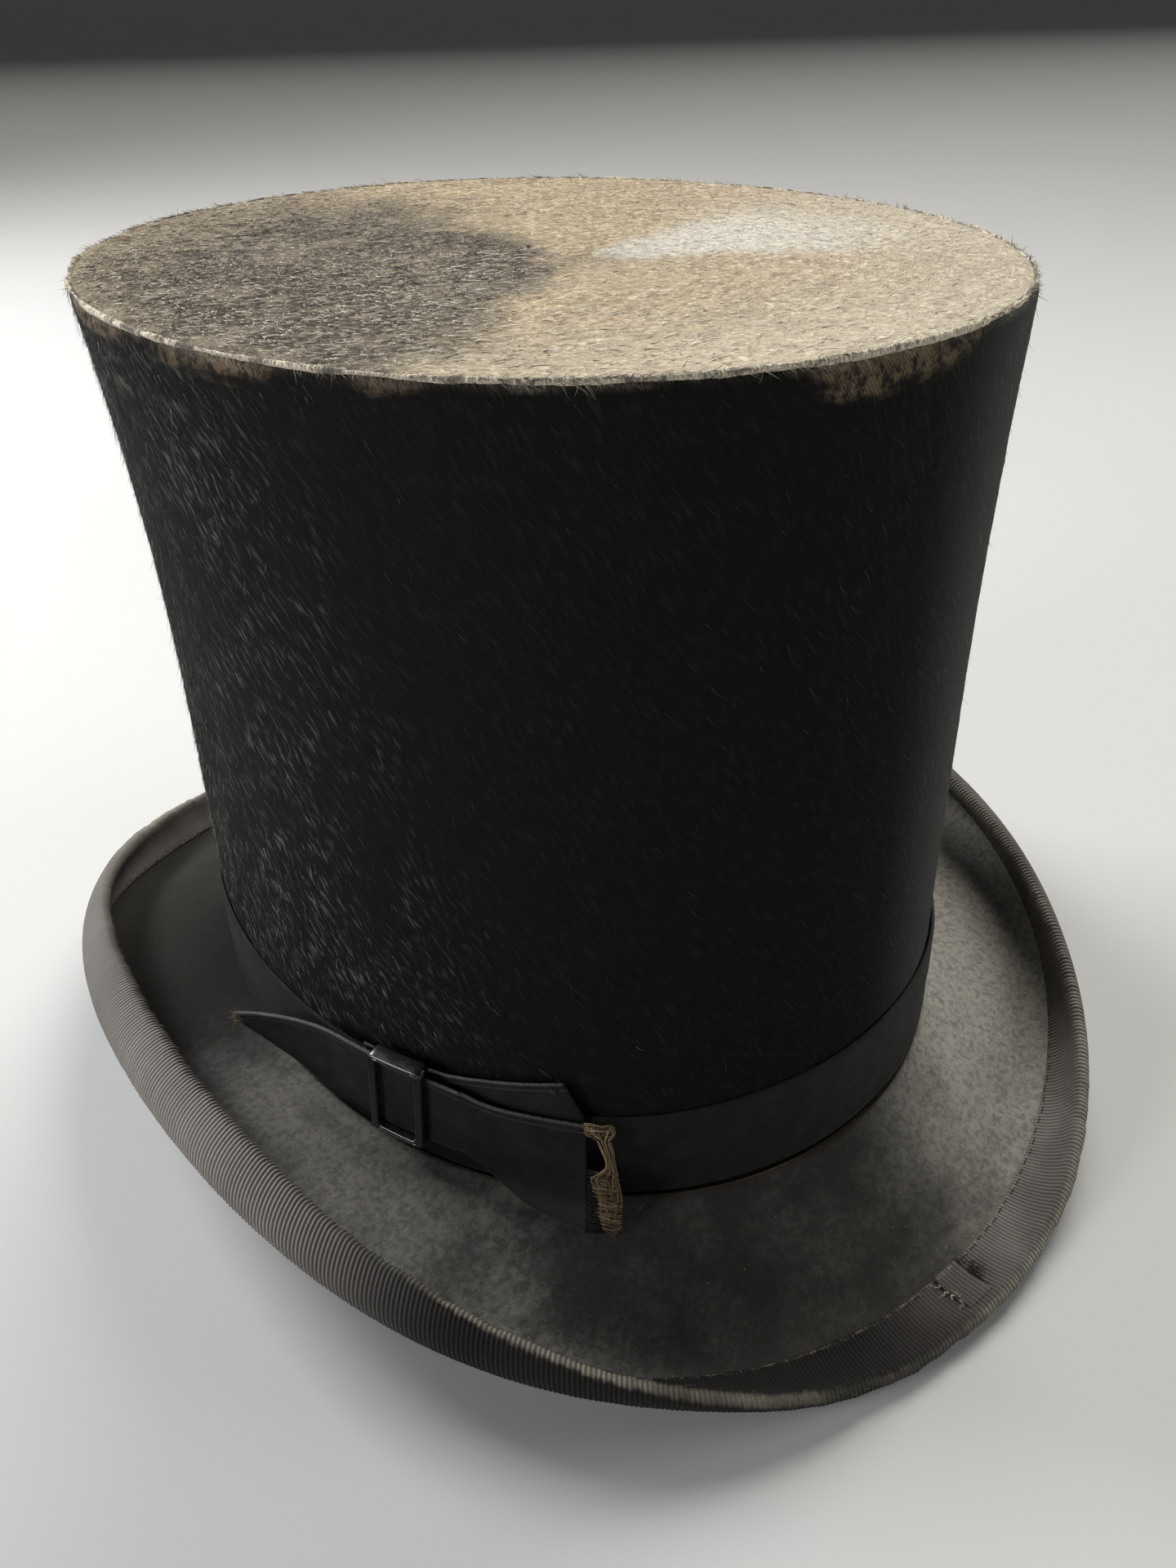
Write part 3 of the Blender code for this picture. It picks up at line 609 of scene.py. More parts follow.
def plush_tip():
    """The tip's plush: brushed in a spiral, dark in one sector and worn to its tan ground elsewhere."""
    f = Finish("plush_tip")
    x, y, _ = f.parts(f.place)
    swirl_x, swirl_y = 0.0019, 0.0166
    across = x - swirl_x
    along = y - swirl_y
    radius = f.root(across * across + along * along)
    angle = f.math("ARCTAN2", along, across)
    wound = radius * 8.0 + angle
    cos_a = f.math("COSINE", wound)
    sin_a = f.math("SINE", wound)

    def spiral(turning, reaching, detail):
        """Noise drawn out along the spiral."""
        spot = f.joined(cos_a * turning, sin_a * turning, radius * reaching)
        return f.noise(spot, 1.0, detail, 0.68)

    streak = spiral(9.0, 420.0, 5.0)
    fleck = spiral(42.0, 1700.0, 3.0)
    fluff = f.noise(f.place, 640.0, 6.0, 0.74, 0.8)
    grain = f.noise(f.place, 2400.0, 3.0, 0.7)
    blotch = f.noise(f.place, 30.0, 4.0, 0.6)
    cloud = f.noise(f.place, 95.0, 4.0, 0.62)
    size = f.larger(radius, 0.001)

    def toward(degrees):
        """1 on the swirl's side at an angle from +X, -1 on the opposite one."""
        part_x = math.cos(math.radians(degrees))
        part_y = math.sin(math.radians(degrees))
        lean = across * part_x + along * part_y
        return lean / size

    # the sector with its black nap left, towards the front of the wearer's left
    edge = blotch * 0.6 + (cloud * 0.38 + toward(-30.0))
    dark = f.band(edge, 0.66, 1.08) * f.band(radius, 0.002, 0.012)
    dark = dark * f.band(cloud * 0.05 + radius, 0.128, 0.095, 0.62, 1.0)
    # a painted highlight: the streak where the brushed nap shines, opposite
    gleam = cloud * 0.16 + toward(170.0)
    shine = f.band(gleam, 0.88, 1.08) * f.band(radius, 0.002, 0.012)
    shine = shine * f.band(radius, 0.085, 0.04)
    pale = f.band(toward(125.0), -0.2, 0.9) * f.band(radius, 0.03, 0.09, 0.1, 0.65)
    near = f.band(toward(58.0), 0.3, 0.95) * f.band(radius, 0.04, 0.09, 0.0, 0.5)
    tan = f.over(
        (0.33, 0.245, 0.145),
        (f.band(streak, 0.34, 0.66), (0.60, 0.465, 0.295)),
        (f.band(cloud, 0.44, 0.68) * 0.3, (0.28, 0.225, 0.15)),
        (pale, (0.60, 0.54, 0.44)),
        (near, (0.64, 0.56, 0.42)),
        (f.band(fluff, 0.52, 0.62) * 0.85, (0.86, 0.76, 0.58)),
        (f.band(fluff, 0.46, 0.36) * 0.75, (0.15, 0.112, 0.072)),
        (f.band(fleck, 0.6, 0.7) * 0.8, (0.98, 0.92, 0.8)),
        (shine * f.band(fluff, 0.4, 0.58, 0.25, 0.8), (0.86, 0.85, 0.8)),
    )
    tuft = f.noise(f.place, 260.0, 4.0, 0.72, 1.2)
    dust = f.noise(f.place, 1500.0, 4.0, 0.8)
    black = f.over(
        (0.016, 0.0125, 0.0095),
        (f.band(fluff, 0.46, 0.62), (0.17, 0.142, 0.108)),
        (f.band(tuft, 0.50, 0.64, 0.0, 0.85), (0.30, 0.25, 0.18)),
        (f.band(cloud, 0.5, 0.66) * 0.55, (0.27, 0.225, 0.165)),
        (f.band(fleck, 0.58, 0.70), (0.74, 0.68, 0.58)),
        (f.band(dust, 0.60, 0.70), (0.80, 0.74, 0.64)),
    )
    colour = f.mix(dark * 0.95, tan, black)
    height_map = fluff * 0.9 + (grain * 0.35 + fleck)
    f.set(Base_Color=colour, Normal=f.bump(height_map, 0.9, 0.0005))
    f.set(Roughness=f.band(streak, 0.3, 0.8, 0.9, 0.7), Specular_IOR_Level=0.12)
    f.set(Sheen_Weight=0.04, Sheen_Roughness=0.4, Sheen_Tint=(0.95, 0.92, 0.86))
    return f.material


def felt():
    """Napped brim cloth: cloudy where the nap is rubbed one way and another."""
    f = Finish("brim_felt")
    cloud = f.noise(f.place, 70.0, 6.0, 0.66)
    fleece = f.noise(f.place, 620.0, 4.0, 0.7, 0.5)
    fine = f.noise(f.place, 2600.0, 3.0, 0.7)
    # painted light makes it paler behind the wearer's right and beside the strap; painted shade makes it dark
    # in the left curl, and the crown's painted shadow darkens it at the back
    painted_light = f.band(cloud * 0.25 + f.facing(-50.0), 0.72, 1.1)
    painted_light_by_strap = f.band(cloud * 0.25 + f.facing(68.0), 0.98, 1.1, 0.0, 0.38)
    painted_light = f.larger(painted_light, painted_light_by_strap)
    # painted shade inside the left curl
    painted_curl_shade = f.band(f.facing(142.0), 0.42, 0.84, 0.0, 0.93)
    # painted shadow of the crown on the brim at the back
    painted_crown_shadow = f.band(f.facing(14.0), 0.88, 0.985, 0.0, 0.66)
    lint = f.band(f.cells(f.place, 210.0), 0.050, 0.030)
    colour = f.over(
        (0.060, 0.056, 0.049),
        (f.band(cloud, 0.36, 0.66), (0.165, 0.153, 0.135)),
        (f.band(fleece, 0.38, 0.62, 0.60, 0.0), (0.030, 0.0275, 0.024)),
        (f.band(fine, 0.56, 0.74) * 0.35, (0.28, 0.262, 0.235)),
        (painted_light * f.band(fleece, 0.34, 0.62, 0.45, 0.95), (0.38, 0.36, 0.32)),
        (painted_curl_shade, (0.022, 0.021, 0.018)),
        (painted_crown_shadow, (0.020, 0.0185, 0.016)),
        (lint * 0.45, (0.36, 0.3, 0.24)),
    )
    height_map = fine * 0.5 + (fleece * 0.8 + cloud)
    f.set(Base_Color=colour, Normal=f.bump(height_map, 0.7, 0.0005))
    # the painted shade and shadow also lower the felt's gloss and sheen
    painted_shade_dull = f.larger(painted_curl_shade, painted_crown_shadow)
    f.set(Roughness=0.9, Specular_IOR_Level=0.25 - painted_shade_dull * 0.17)
    sheen = 0.22 - painted_shade_dull * 0.17
    f.set(Sheen_Weight=sheen, Sheen_Roughness=0.5, Sheen_Tint=(0.85, 0.82, 0.78))
    return f.material


def ribbon():
    """Grosgrain ribbon: ribs across its width, faded to mauve brown and frayed on the rim.

    The UV map holds the distance along the rim, and the distance across from the rim in metres.
    """
    f = Finish("binding_ribbon")
    along, across, _ = f.parts(f.uv)
    rib = f.wave(f.joined(along * (RIBS / BRIM_GIRTH), 0.0), 1.0 / 3.1831, "X", 0.0)
    thread = f.noise(f.uv, (5200.0, 900.0, 1.0), 3.0, 0.7)
    fade = f.noise(f.place, 30.0, 5.0, 0.64)
    # painted shadow keeps it dark below the strap's torn end, where the crown's shadow falls, and painted
    # light makes it paler on the wearer's left
    # painted shadow of the crown, below the strap's torn end
    kept = f.band(f.facing(30.0), 0.80, 0.955, 0.0, 0.97)
    # painted light on the wearer's left
    painted_light_left = f.band(f.facing(100.0), 0.55, 0.92, 0.0, 0.60)
    smooth_worn = f.band(f.noise(f.uv, (7.0, 3.0, 1.0), 2.0), 0.44, 0.6)
    # painted shade in the furrows between the ribs, less where they are worn smooth
    painted_furrow_shade = f.band(rib, 0.62, 0.1) * (0.7 - smooth_worn * 0.45)
    # pale and frayed along the rim, and picked along its inner edge
    ragged = f.noise(f.uv, (700.0, 500.0, 1.0), 4.0, 0.7)
    patchy = f.band(f.noise(f.uv, (16.0, 10.0, 1.0), 3.0), 0.42, 0.60)
    line = abs(across) - ragged * 0.0016
    worn = f.band(line, 0.0004, -0.0005) * (patchy * 0.75 + 0.12)
    pale = f.mix(thread, (0.17, 0.155, 0.12), (0.42, 0.39, 0.31))
    inner = f.band(abs(across + (RIBBON_WIDTH - 0.0007)), 0.0006, 0.0001)
    picked = inner * f.band(ragged, 0.4, 0.62)
    colour = f.over(
        (0.110, 0.099, 0.090),
        (f.band(fade, 0.35, 0.70), (0.215, 0.192, 0.174)),
        (f.band(thread, 0.5, 0.8) * 0.3, (0.34, 0.31, 0.28)),
        (kept, (0.0125, 0.0115, 0.0105)),
        (painted_light_left, (0.34, 0.315, 0.285)),
        (painted_furrow_shade, (0.028, 0.024, 0.022)),
        (worn * 0.85, pale),
        (picked * 0.5, (0.3, 0.27, 0.23)),
    )
    height_map = thread * 0.4 + (ragged * 0.3 + rib * 1.2)
    f.set(Base_Color=colour, Normal=f.bump(height_map, 0.7, 0.00025))
    # the painted shadow also lowers the gloss and sheen
    gloss = 0.32 - kept * 0.24
    sheen = 0.12 - kept * 0.11
    f.set(Roughness=f.band(fade, 0.3, 0.7, 0.78, 0.62), Specular_IOR_Level=gloss)
    f.set(Sheen_Weight=sheen, Sheen_Roughness=0.4, Sheen_Tint=(0.88, 0.84, 0.82))
    return f.material


def fine_cloth(name, dark, light, pitch, hem=False):
    """Closely woven band cloth with its two sets of threads, and a pressed hem when asked for."""
    f = Finish(name)
    warp = f.wave(f.uv, 0.31416 / pitch, "X", 0.4)
    weft = f.wave(f.uv, 0.31416 / pitch, "Y", 0.4)
    crossed = f.larger(warp, weft)
    dust = f.noise(f.uv, (160.0, 160.0, 1.0), 5.0, 0.65)
    thread = f.noise(f.uv, (900.0, 5200.0, 1.0), 3.0, 0.65)
    colour = f.mix(f.band(dust, 0.35, 0.75), dark, light)
    colour = f.mix(f.band(thread, 0.58, 0.8) * 0.3, colour, tuple(2.2 * part for part in light))
    if hem:
        # a painted sheen makes it paler where it flares over the brim; along its pressed edge it is rubbed
        # pale, with a painted highlight there too
        _, _, level = f.parts(f.place)
        flare_sheen = f.band(level, FOOT_HEIGHT + 0.0090, FOOT_HEIGHT + 0.0010, 0.0, 0.60)
        colour = f.mix(flare_sheen, colour, (0.055, 0.057, 0.053))
        _, depth, _ = f.parts(f.uv)
        edge = f.band(depth, 0.00055, 0.00020)
        fold = f.band(abs(depth - 0.0018), 0.0003, 0.0001)
        rubbed = f.band(thread, 0.35, 0.60, 0.35, 1.0)
        # pale hem lines: rubbed wear and painted highlight
        colour = f.mix(f.larger(edge, fold * 0.35) * rubbed, colour, (0.11, 0.108, 0.1))
    height_map = thread * 0.6 + crossed
    f.set(Base_Color=colour, Normal=f.bump(height_map, 0.45, 0.00012))
    f.set(Roughness=f.band(dust, 0.3, 0.8, 0.78, 0.62), Specular_IOR_Level=0.22)
    f.set(Sheen_Weight=0.08, Sheen_Roughness=0.4, Sheen_Tint=(0.7, 0.7, 0.7))
    return f.material


def tinted_fibre(name, dark, light, roughness):
    """Loose fibres: the UV map's first number picks each one's tint."""
    f = Finish(name)
    tint, _, _ = f.parts(f.uv)
    dirt = f.noise(f.place, 900.0, 2.0)
    colour = f.mix(tint, dark, light)
    colour = f.mix(f.band(dirt, 0.5, 0.8, 0.0, 0.4), colour, tuple(0.4 * part for part in dark))
    f.set(Base_Color=colour, Roughness=roughness, Specular_IOR_Level=0.35)
    return f.material


def enamel():
    """Black enamel on metal, rubbed a little on its edges."""
    f = Finish("buckle_enamel")
    cloud = f.noise(f.place, 420.0, 4.0, 0.6)
    scratch = f.noise(f.place, (300.0, 300.0, 2600.0), 3.0, 0.6)
    colour = f.mix(f.band(cloud, 0.60, 0.80), (0.008, 0.008, 0.009), (0.035, 0.033, 0.031))
    f.set(Base_Color=colour, Roughness=f.band(cloud, 0.3, 0.7, 0.34, 0.20))
    f.set(Normal=f.bump(scratch * 0.2 + cloud, 0.08, 0.00004))
    f.set(Specular_IOR_Level=0.5, Coat_Weight=0.6, Coat_Roughness=0.12)
    return f.material


def leather():
    """Sweatband leather with pores, creases and wear stains."""
    f = Finish("sweatband_leather")
    pore = f.cells(f.place, 1500.0)
    crease = f.noise(f.place, (160.0, 160.0, 480.0), 4.0, 0.6, 0.5)
    stain = f.noise(f.place, 34.0, 4.0, 0.6)
    colour = f.mix(f.band(stain, 0.35, 0.72), (0.26, 0.135, 0.062), (0.40, 0.235, 0.120))
    colour = f.mix(f.band(crease, 0.55, 0.75, 0.0, 0.35), colour, (0.13, 0.065, 0.032))
    height_map = crease * 1.2 + f.band(pore, 0.0, 0.5)
    f.set(Base_Color=colour, Normal=f.bump(height_map, 0.35, 0.0002))
    f.set(Roughness=f.band(stain, 0.3, 0.7, 0.58, 0.40), Specular_IOR_Level=0.5)
    return f.material


def satin():
    """Aged cream satin with fine floats that run round the crown."""
    f = Finish("satin_lining")
    floats = f.noise(f.uv, (260.0, 6400.0, 1.0), 3.0, 0.6)
    stain = f.noise(f.place, 28.0, 4.0, 0.6)
    colour = f.mix(f.band(stain, 0.40, 0.75), (0.62, 0.55, 0.43), (0.48, 0.39, 0.27))
    colour = f.mix(f.band(floats, 0.45, 0.75, 0.0, 0.25), colour, (0.80, 0.74, 0.63))
    f.set(Base_Color=colour, Normal=f.bump(floats, 0.3, 0.0001))
    f.set(Roughness=f.band(floats, 0.3, 0.7, 0.42, 0.28), Anisotropic=0.5, Specular_IOR_Level=0.55)
    f.set(Sheen_Weight=0.2, Sheen_Roughness=0.3)
    return f.material


def board():
    """Cloth boards stiffened with shellac: brown, glossy in places, with the weave showing."""
    f = Finish("shellac_board")
    weave = f.noise(f.place, (1400.0, 1400.0, 1400.0), 2.0)
    pool = f.noise(f.place, 70.0, 3.0, 0.6)
    colour = f.mix(f.band(pool, 0.35, 0.70), (0.10, 0.060, 0.028), (0.22, 0.145, 0.075))
    colour = f.mix(f.band(weave, 0.5, 0.8, 0.0, 0.4), colour, (0.30, 0.22, 0.13))
    f.set(Base_Color=colour, Normal=f.bump(weave, 0.4, 0.0002), Roughness=f.band(pool, 0.3, 0.7, 0.6, 0.35))
    return f.material


def linen(name, dark, light):
    """Plain linen or cotton in a coarse weave."""
    f = Finish(name)
    weave = f.noise(f.place, (2400.0, 2400.0, 2400.0), 3.0, 0.6)
    age = f.noise(f.place, 60.0, 3.0)
    colour = f.mix(f.band(weave, 0.35, 0.70), dark, light)
    colour = f.mix(f.band(age, 0.5, 0.75, 0.0, 0.4), colour, dark)
    f.set(Base_Color=colour, Normal=f.bump(weave, 0.6, 0.0002), Roughness=0.85)
    return f.material


def floor_finish():
    """Plain pale floor."""
    f = Finish("studio_floor")
    tone = f.noise(f.place, 3.0, 2.0)
    f.set(Base_Color=f.mix(tone, (0.60, 0.60, 0.59), (0.64, 0.64, 0.63)), Roughness=0.75)
    return f.material


# ------------------------------------------------------------------ crown

def nap_relief(bearing, height):
    """Clumps of nap, swept down and towards the back, from -1 to 1."""
    share = height / CROWN_HEIGHT
    turn = bearing / 360.0
    sweep = turn - 0.19 * share
    sweep = sweep + 0.006 * lattice_noise(turn, share, 14, 5, 11)
    relief = 0.55 * lattice_noise(sweep, share, 330, 20, 12)
    relief += 0.35 * lattice_noise(sweep, share, 520, 34, 13)
    relief += 0.35 * lattice_noise(turn, share, 60, 16, 14)
    return relief


def make_side_plush(finish):
    """The side's plush with its clumps of nap, rolled over at the tip's edge."""
    rows, roll = 96, 0.0034
    bearing, along = girdle(460)
    roll_start = CROWN_HEIGHT - 0.0007 - roll
    rolled = np.radians((22.0, 44.0, 66.0, 84.0))
    height = np.concatenate([np.linspace(-0.0004, roll_start, rows), roll_start + roll * np.sin(rolled)])
    into = np.concatenate([np.zeros(rows), roll * 0.42 * (1.0 - np.cos(rolled))])
    wobble = 0.0003 * lattice_noise(bearing / 360.0, height / CROWN_HEIGHT, 9, 4, 21)
    relief = 0.00013 * nap_relief(bearing, height)
    above_foot = smooth_step(0.0015, 0.0060, height)
    outer = crown(bearing, height, (wobble + relief + 0.0001) * above_foot - 0.0001 - into)
    inner = crown(bearing, height, -PLUSH - into * 0.6)
    return add_shell("side_plush_cloth", outer, inner, grid_uv(along, height), finish)


def make_tip_plush(finish):
    """The tip's plush: a shallow dish with dents, sunk at the edge seam."""
    top = FOOT_HEIGHT + CROWN_HEIGHT
    tuck = 0.0003 / TIP_REACH
    bearing, along = girdle(240)
    share = np.concatenate([np.linspace(0.012, 0.95, 42), np.linspace(0.957, 1.0, 10)])
    flat = crown(bearing, CROWN_HEIGHT, -0.0010) * (1.0, 1.0, 0.0)
    dish = -0.0004 + 0.0003 * share ** 2 - 0.0003 * smooth_step(0.975, 1.0, share) ** 2
    turn = bearing / 360.0
    dent = 0.00022 * lattice_noise(turn + share * 0.15, share, 7, 4, 31)
    grain = 0.00006 * lattice_noise(turn + share * 0.35, share, 110, 40, 32)
    outer = flat * share[None, :, None]
    outer[..., 2] = top - 0.0001 + dish + (dent + grain) * (share < 0.97)
    inner = flat * (share - tuck * (share > 0.5))[None, :, None]
    inner[..., 2] = top - PLUSH - 0.0007
    uv = grid_uv(along, share * TIP_REACH)
    return add_shell("tip_plush_cloth", outer[:, ::-1], inner[:, ::-1], uv[:, ::-1], finish)


def main_materials():
    """Every finish that more than one piece may use. The two colours of each are dark and light."""
    return {
        "side": plush_side(),
        "tip": plush_tip(),
        "felt": felt(),
        "ribbon": ribbon(),
        "band": fine_cloth("band_cloth", (0.0045, 0.0045, 0.0047), (0.0125, 0.0122, 0.0118), 0.0004),
        "strap": fine_cloth("strap_cloth", (0.0060, 0.0060, 0.0058), (0.0150, 0.0147, 0.0140), 0.0005, True),
        "enamel": enamel(),
        "leather": leather(),
        "satin": satin(),
        "board": board(),
        "linen": linen("linen_strip", (0.30, 0.26, 0.20), (0.52, 0.47, 0.38)),
        "cotton": linen("cotton_cord", (0.34, 0.29, 0.22), (0.60, 0.54, 0.44)),
        "pale": tinted_fibre("pale_fibre", (0.20, 0.165, 0.125), (0.84, 0.78, 0.66), 0.6),
        "fray": tinted_fibre("frayed_edge", (0.020, 0.017, 0.014), (0.84, 0.76, 0.62), 0.7),
        "rim": tinted_fibre("rim_fibre", (0.07, 0.06, 0.05), (0.30, 0.27, 0.21), 0.7),
        "grey": tinted_fibre("grey_fibre", (0.012, 0.012, 0.012), (0.30, 0.29, 0.27), 0.6),
        "tan": tinted_fibre("tan_thread", (0.035, 0.022, 0.012), (0.52, 0.375, 0.215), 0.8),
        "black": tinted_fibre("black_thread", (0.010, 0.010, 0.010), (0.060, 0.056, 0.052), 0.6),
    }


def make_tip_seam(finish):
    """The raised seam between tip and side, rubbed and uneven."""
    bearing, along = girdle(900)
    turn = 2.0 * np.pi * np.arange(8)[None] / 8
    lump = 0.5 * ring_noise(bearing, 420, 41) + 1.1 * ring_noise(bearing, 60, 42)
    radius = 0.00047 + 0.00019 * lump
    wander = 0.00030 * ring_noise(bearing, 160, 43)
    twist = 0.25 * ring_noise(bearing, 450, 44)
    loop = crown(bearing, CROWN_HEIGHT, wander - 0.00080 + radius * np.cos(turn + twist))
    loop[..., 2] = FOOT_HEIGHT + CROWN_HEIGHT - 0.00070 + 0.6 * wander + radius * np.sin(turn + twist)
    return add_loops("tip_edge_ridge", loop, grid_uv(along, turn[0] * 0.0006), finish)


def seam_finish():
    """The edge seam's twisted yarn, pale where it is rubbed."""
    f = Finish("worn_seam")
    twist = f.noise(f.uv, (2600.0, 900.0, 1.0), 3.0, 0.7)
    worn = f.noise(f.place, 190.0, 6.0, 0.74, 0.6)
    colour = f.mix(f.band(twist, 0.38, 0.62), (0.26, 0.205, 0.145), (0.86, 0.78, 0.62))
    colour = f.mix(f.band(worn, 0.49, 0.60, 0.0, 0.85), colour, (0.060, 0.050, 0.040))
    f.set(Base_Color=colour, Normal=f.bump(twist, 0.8, 0.0003), Roughness=0.85)
    return f.material


# ------------------------------------------------------------------ brim

def make_brim_layer(name, start, high, low, finish, rows=34, steps=360, relief=0.0, seed=50):
    """A layer of the brim from the crown's foot to the ribbon. The relief is on its free face."""
    bearing, along = girdle(steps, BRIM_GIRTH)
    width = brim_shape(bearing)[4]
    share = np.linspace(0.0, 1.0, rows)[None]
    place = blend(width - start, BOARD_SETBACK, share)
    texture = 0.6 * lattice_noise(bearing / 360.0, share, 60, 6, seed)
    texture = texture + 0.4 * lattice_noise(bearing / 360.0, share, 220, 16, seed + 1)
    free, hidden = (low, high) if high < 0.0 else (high, low)
    outer = brim(bearing, place, free + relief * texture)
    inner = brim(bearing, place, hidden)
    uv = grid_uv(along, (1.0 - share[0]) * BRIM_SIDE)
    return add_shell(name, outer, inner, uv, finish)


def make_binding(finish):
    """The grosgrain ribbon folded over the rim, with a raised rib for each cross thread."""
    sink = 0.00026
    bearing, along = girdle(RIBS * 3, BRIM_GIRTH)
    places = np.array([RIBBON_WIDTH, 0.0126, 0.0112, 0.0098, 0.0084, 0.0070, 0.0056, 0.0042, 0.0030])
    turns = np.radians((0.0, 25.0, 50.0, 75.0, 90.0, 105.0, 130.0, 155.0, 180.0))
    worn = 0.55 + 0.45 * ring_noise(bearing, 9, 61)
    rib = np.tile((0.0, 1.0, 0.9), RIBS)[:, None]
    wander = 0.5 + 0.5 * ring_noise(bearing, 700, 62)
    ribs = 0.00030 * rib * worn * (0.7 + 0.3 * wander)
    column = np.arange(len(places))
    edge_fade = keys([0.0, 1.0], [0.2, 1.0], column)[None]
    edge_tuck = keys([0.0, 1.0], [0.00025, 0.0], column)[None]
    frayed = 0.00025 * ring_noise(bearing, 430, 63) + 0.00025 * ring_noise(bearing, 90, 64)
    lift = RIBBON_FACE - sink + ribs * edge_fade - edge_tuck
    rim_radius = RIBBON_FACE - sink + ribs + frayed * np.sin(turns)[None]
    back_lift = RIBBON_FACE - RIBBON - 0.00005
    back_places = np.array([RIBBON_WIDTH, 0.0090, 0.0050])
    back_turns = np.radians((180.0, 90.0, 0.0))
    sections = np.concatenate([
        brim(bearing, places[None], lift),
        rim(bearing, turns[None], rim_radius),
        brim(bearing, places[None, ::-1], -lift[:, ::-1]),
        brim(bearing, back_places[None], -back_lift),
        rim(bearing, back_turns[None], back_lift),
        brim(bearing, back_places[None, ::-1], back_lift),
    ], 1)
    sections[..., 2] = np.maximum(sections[..., 2], 0.0)
    over_rim = (turns / np.pi - 0.5) * 0.0040
    across = np.concatenate([-places, over_rim, places[::-1], back_places, np.zeros(3), -back_places[::-1]])
    return add_loops("binding_ribbon_cloth", sections, grid_uv(along, across), finish)


def make_join(finish):
    """The overlapped end of the ribbon: it rises over the end beneath and sinks into the rim's fold."""
    low = RIBBON_FACE - 0.00012
    bearing = np.linspace(JOIN_START, JOIN_END, 26)[:, None]
    place = np.linspace(RIBBON_WIDTH, 0.0021, 18)[None]
    ridge = 0.00016 * np.abs(np.sin(np.pi * (bearing - JOIN_START) / 360.0 * RIBS))
    rise = 0.0005 * smooth_step(JOIN_START, JOIN_START + 0.35, bearing)
    sunk = smooth_step(0.0020, 0.0052, place)
    outer = brim(bearing, place, low + 0.0001 + (rise + ridge) * sunk)
    inner = brim(bearing, place, low)
    uv = grid_uv(bearing / 360.0 * BRIM_GIRTH, -place)
    return add_shell("binding_join_end", outer, inner, uv, finish, closed=False)


# ------------------------------------------------------------------ band, strap and buckle

def make_hatband(finish):
    """The band: its upper edge dips a little at the torn strap and rises past the back."""
    bearing, along = girdle(480)
    share = np.linspace(0.0, 1.0, 22)[None]
    around = (bearing + 180.0) % 360.0 - 180.0
    dip = 0.0018 * np.exp(-((around - 34.0) / 16.0) ** 2)
    rise = 0.0012 * np.exp(-((around + 14.0) / 20.0) ** 2)
    height = blend(BAND_LOW, BAND_HIGH - dip + rise, share)
    crease = 0.00016 * lattice_noise(bearing / 360.0, share, 26, 5, 301)
    edge = np.where((share > 0.01) & (share < 0.99), 1.0, 0.35)
    outside = crown(bearing, height, GAP + HATBAND * edge + crease)
    inside = crown(bearing, height, GAP)
    uv = grid_uv(along, blend(BAND_LOW, BAND_HIGH, share[0]))
    return add_shell("hatband_cloth", outside, inside, uv, finish)


def make_cord(name, height, outset, radius, finish, steps, strands, depth):
    """A twisted cord that lies round the crown's inside."""
    bearing, along = girdle(steps)
    turn = 2.0 * np.pi * np.arange(10)[None] / 10
    lay = np.radians(bearing * strands)
    reach = radius * (1.0 - depth * (0.5 + 0.5 * np.cos(2.0 * (turn - lay))))
    loop = crown(bearing, 0.0, outset + reach * np.cos(turn))
    loop[..., 2] = FOOT_HEIGHT + height + reach * np.sin(turn)
    return add_loops(name, loop, grid_uv(along, turn[0] * radius), finish)


class Track:
    """The arc that the slide buckle travels along: a circle through three places on the crown."""

    def __init__(self):
        spread = np.array([-9.0, 0.0, 9.0])
        height = (BUCKLE_LOW + BUCKLE_HIGH) / 2.0
        first, middle, last = crown(BUCKLE_BEARING + spread, height, 0.0)[:, :2]
        chords = np.array([first - last, middle - last])
        self.centre = last + np.linalg.solve(2.0 * chords, (chords ** 2).sum(1))
        spoke = middle - self.centre
        self.radius = float(np.linalg.norm(spoke))
        self.middle = math.atan2(spoke[1], spoke[0])

    def point(self, towards_back, height, outset):
        """Points at distances along the arc, heights above the foot and outsets from the crown."""
        towards_back, height, outset = np.broadcast_arrays(towards_back, height, outset)
        angle = self.middle + towards_back / self.radius
        reach = self.radius + outset
        x = self.centre[0] + reach * np.cos(angle)
        y = self.centre[1] + reach * np.sin(angle)
        return np.stack([x, y, FOOT_HEIGHT + height], -1)

    def outward(self, spot):
        """The level direction from the arc's centre to a spot."""
        return unit(np.array([spot[0] - self.centre[0], spot[1] - self.centre[1], 0.0]))


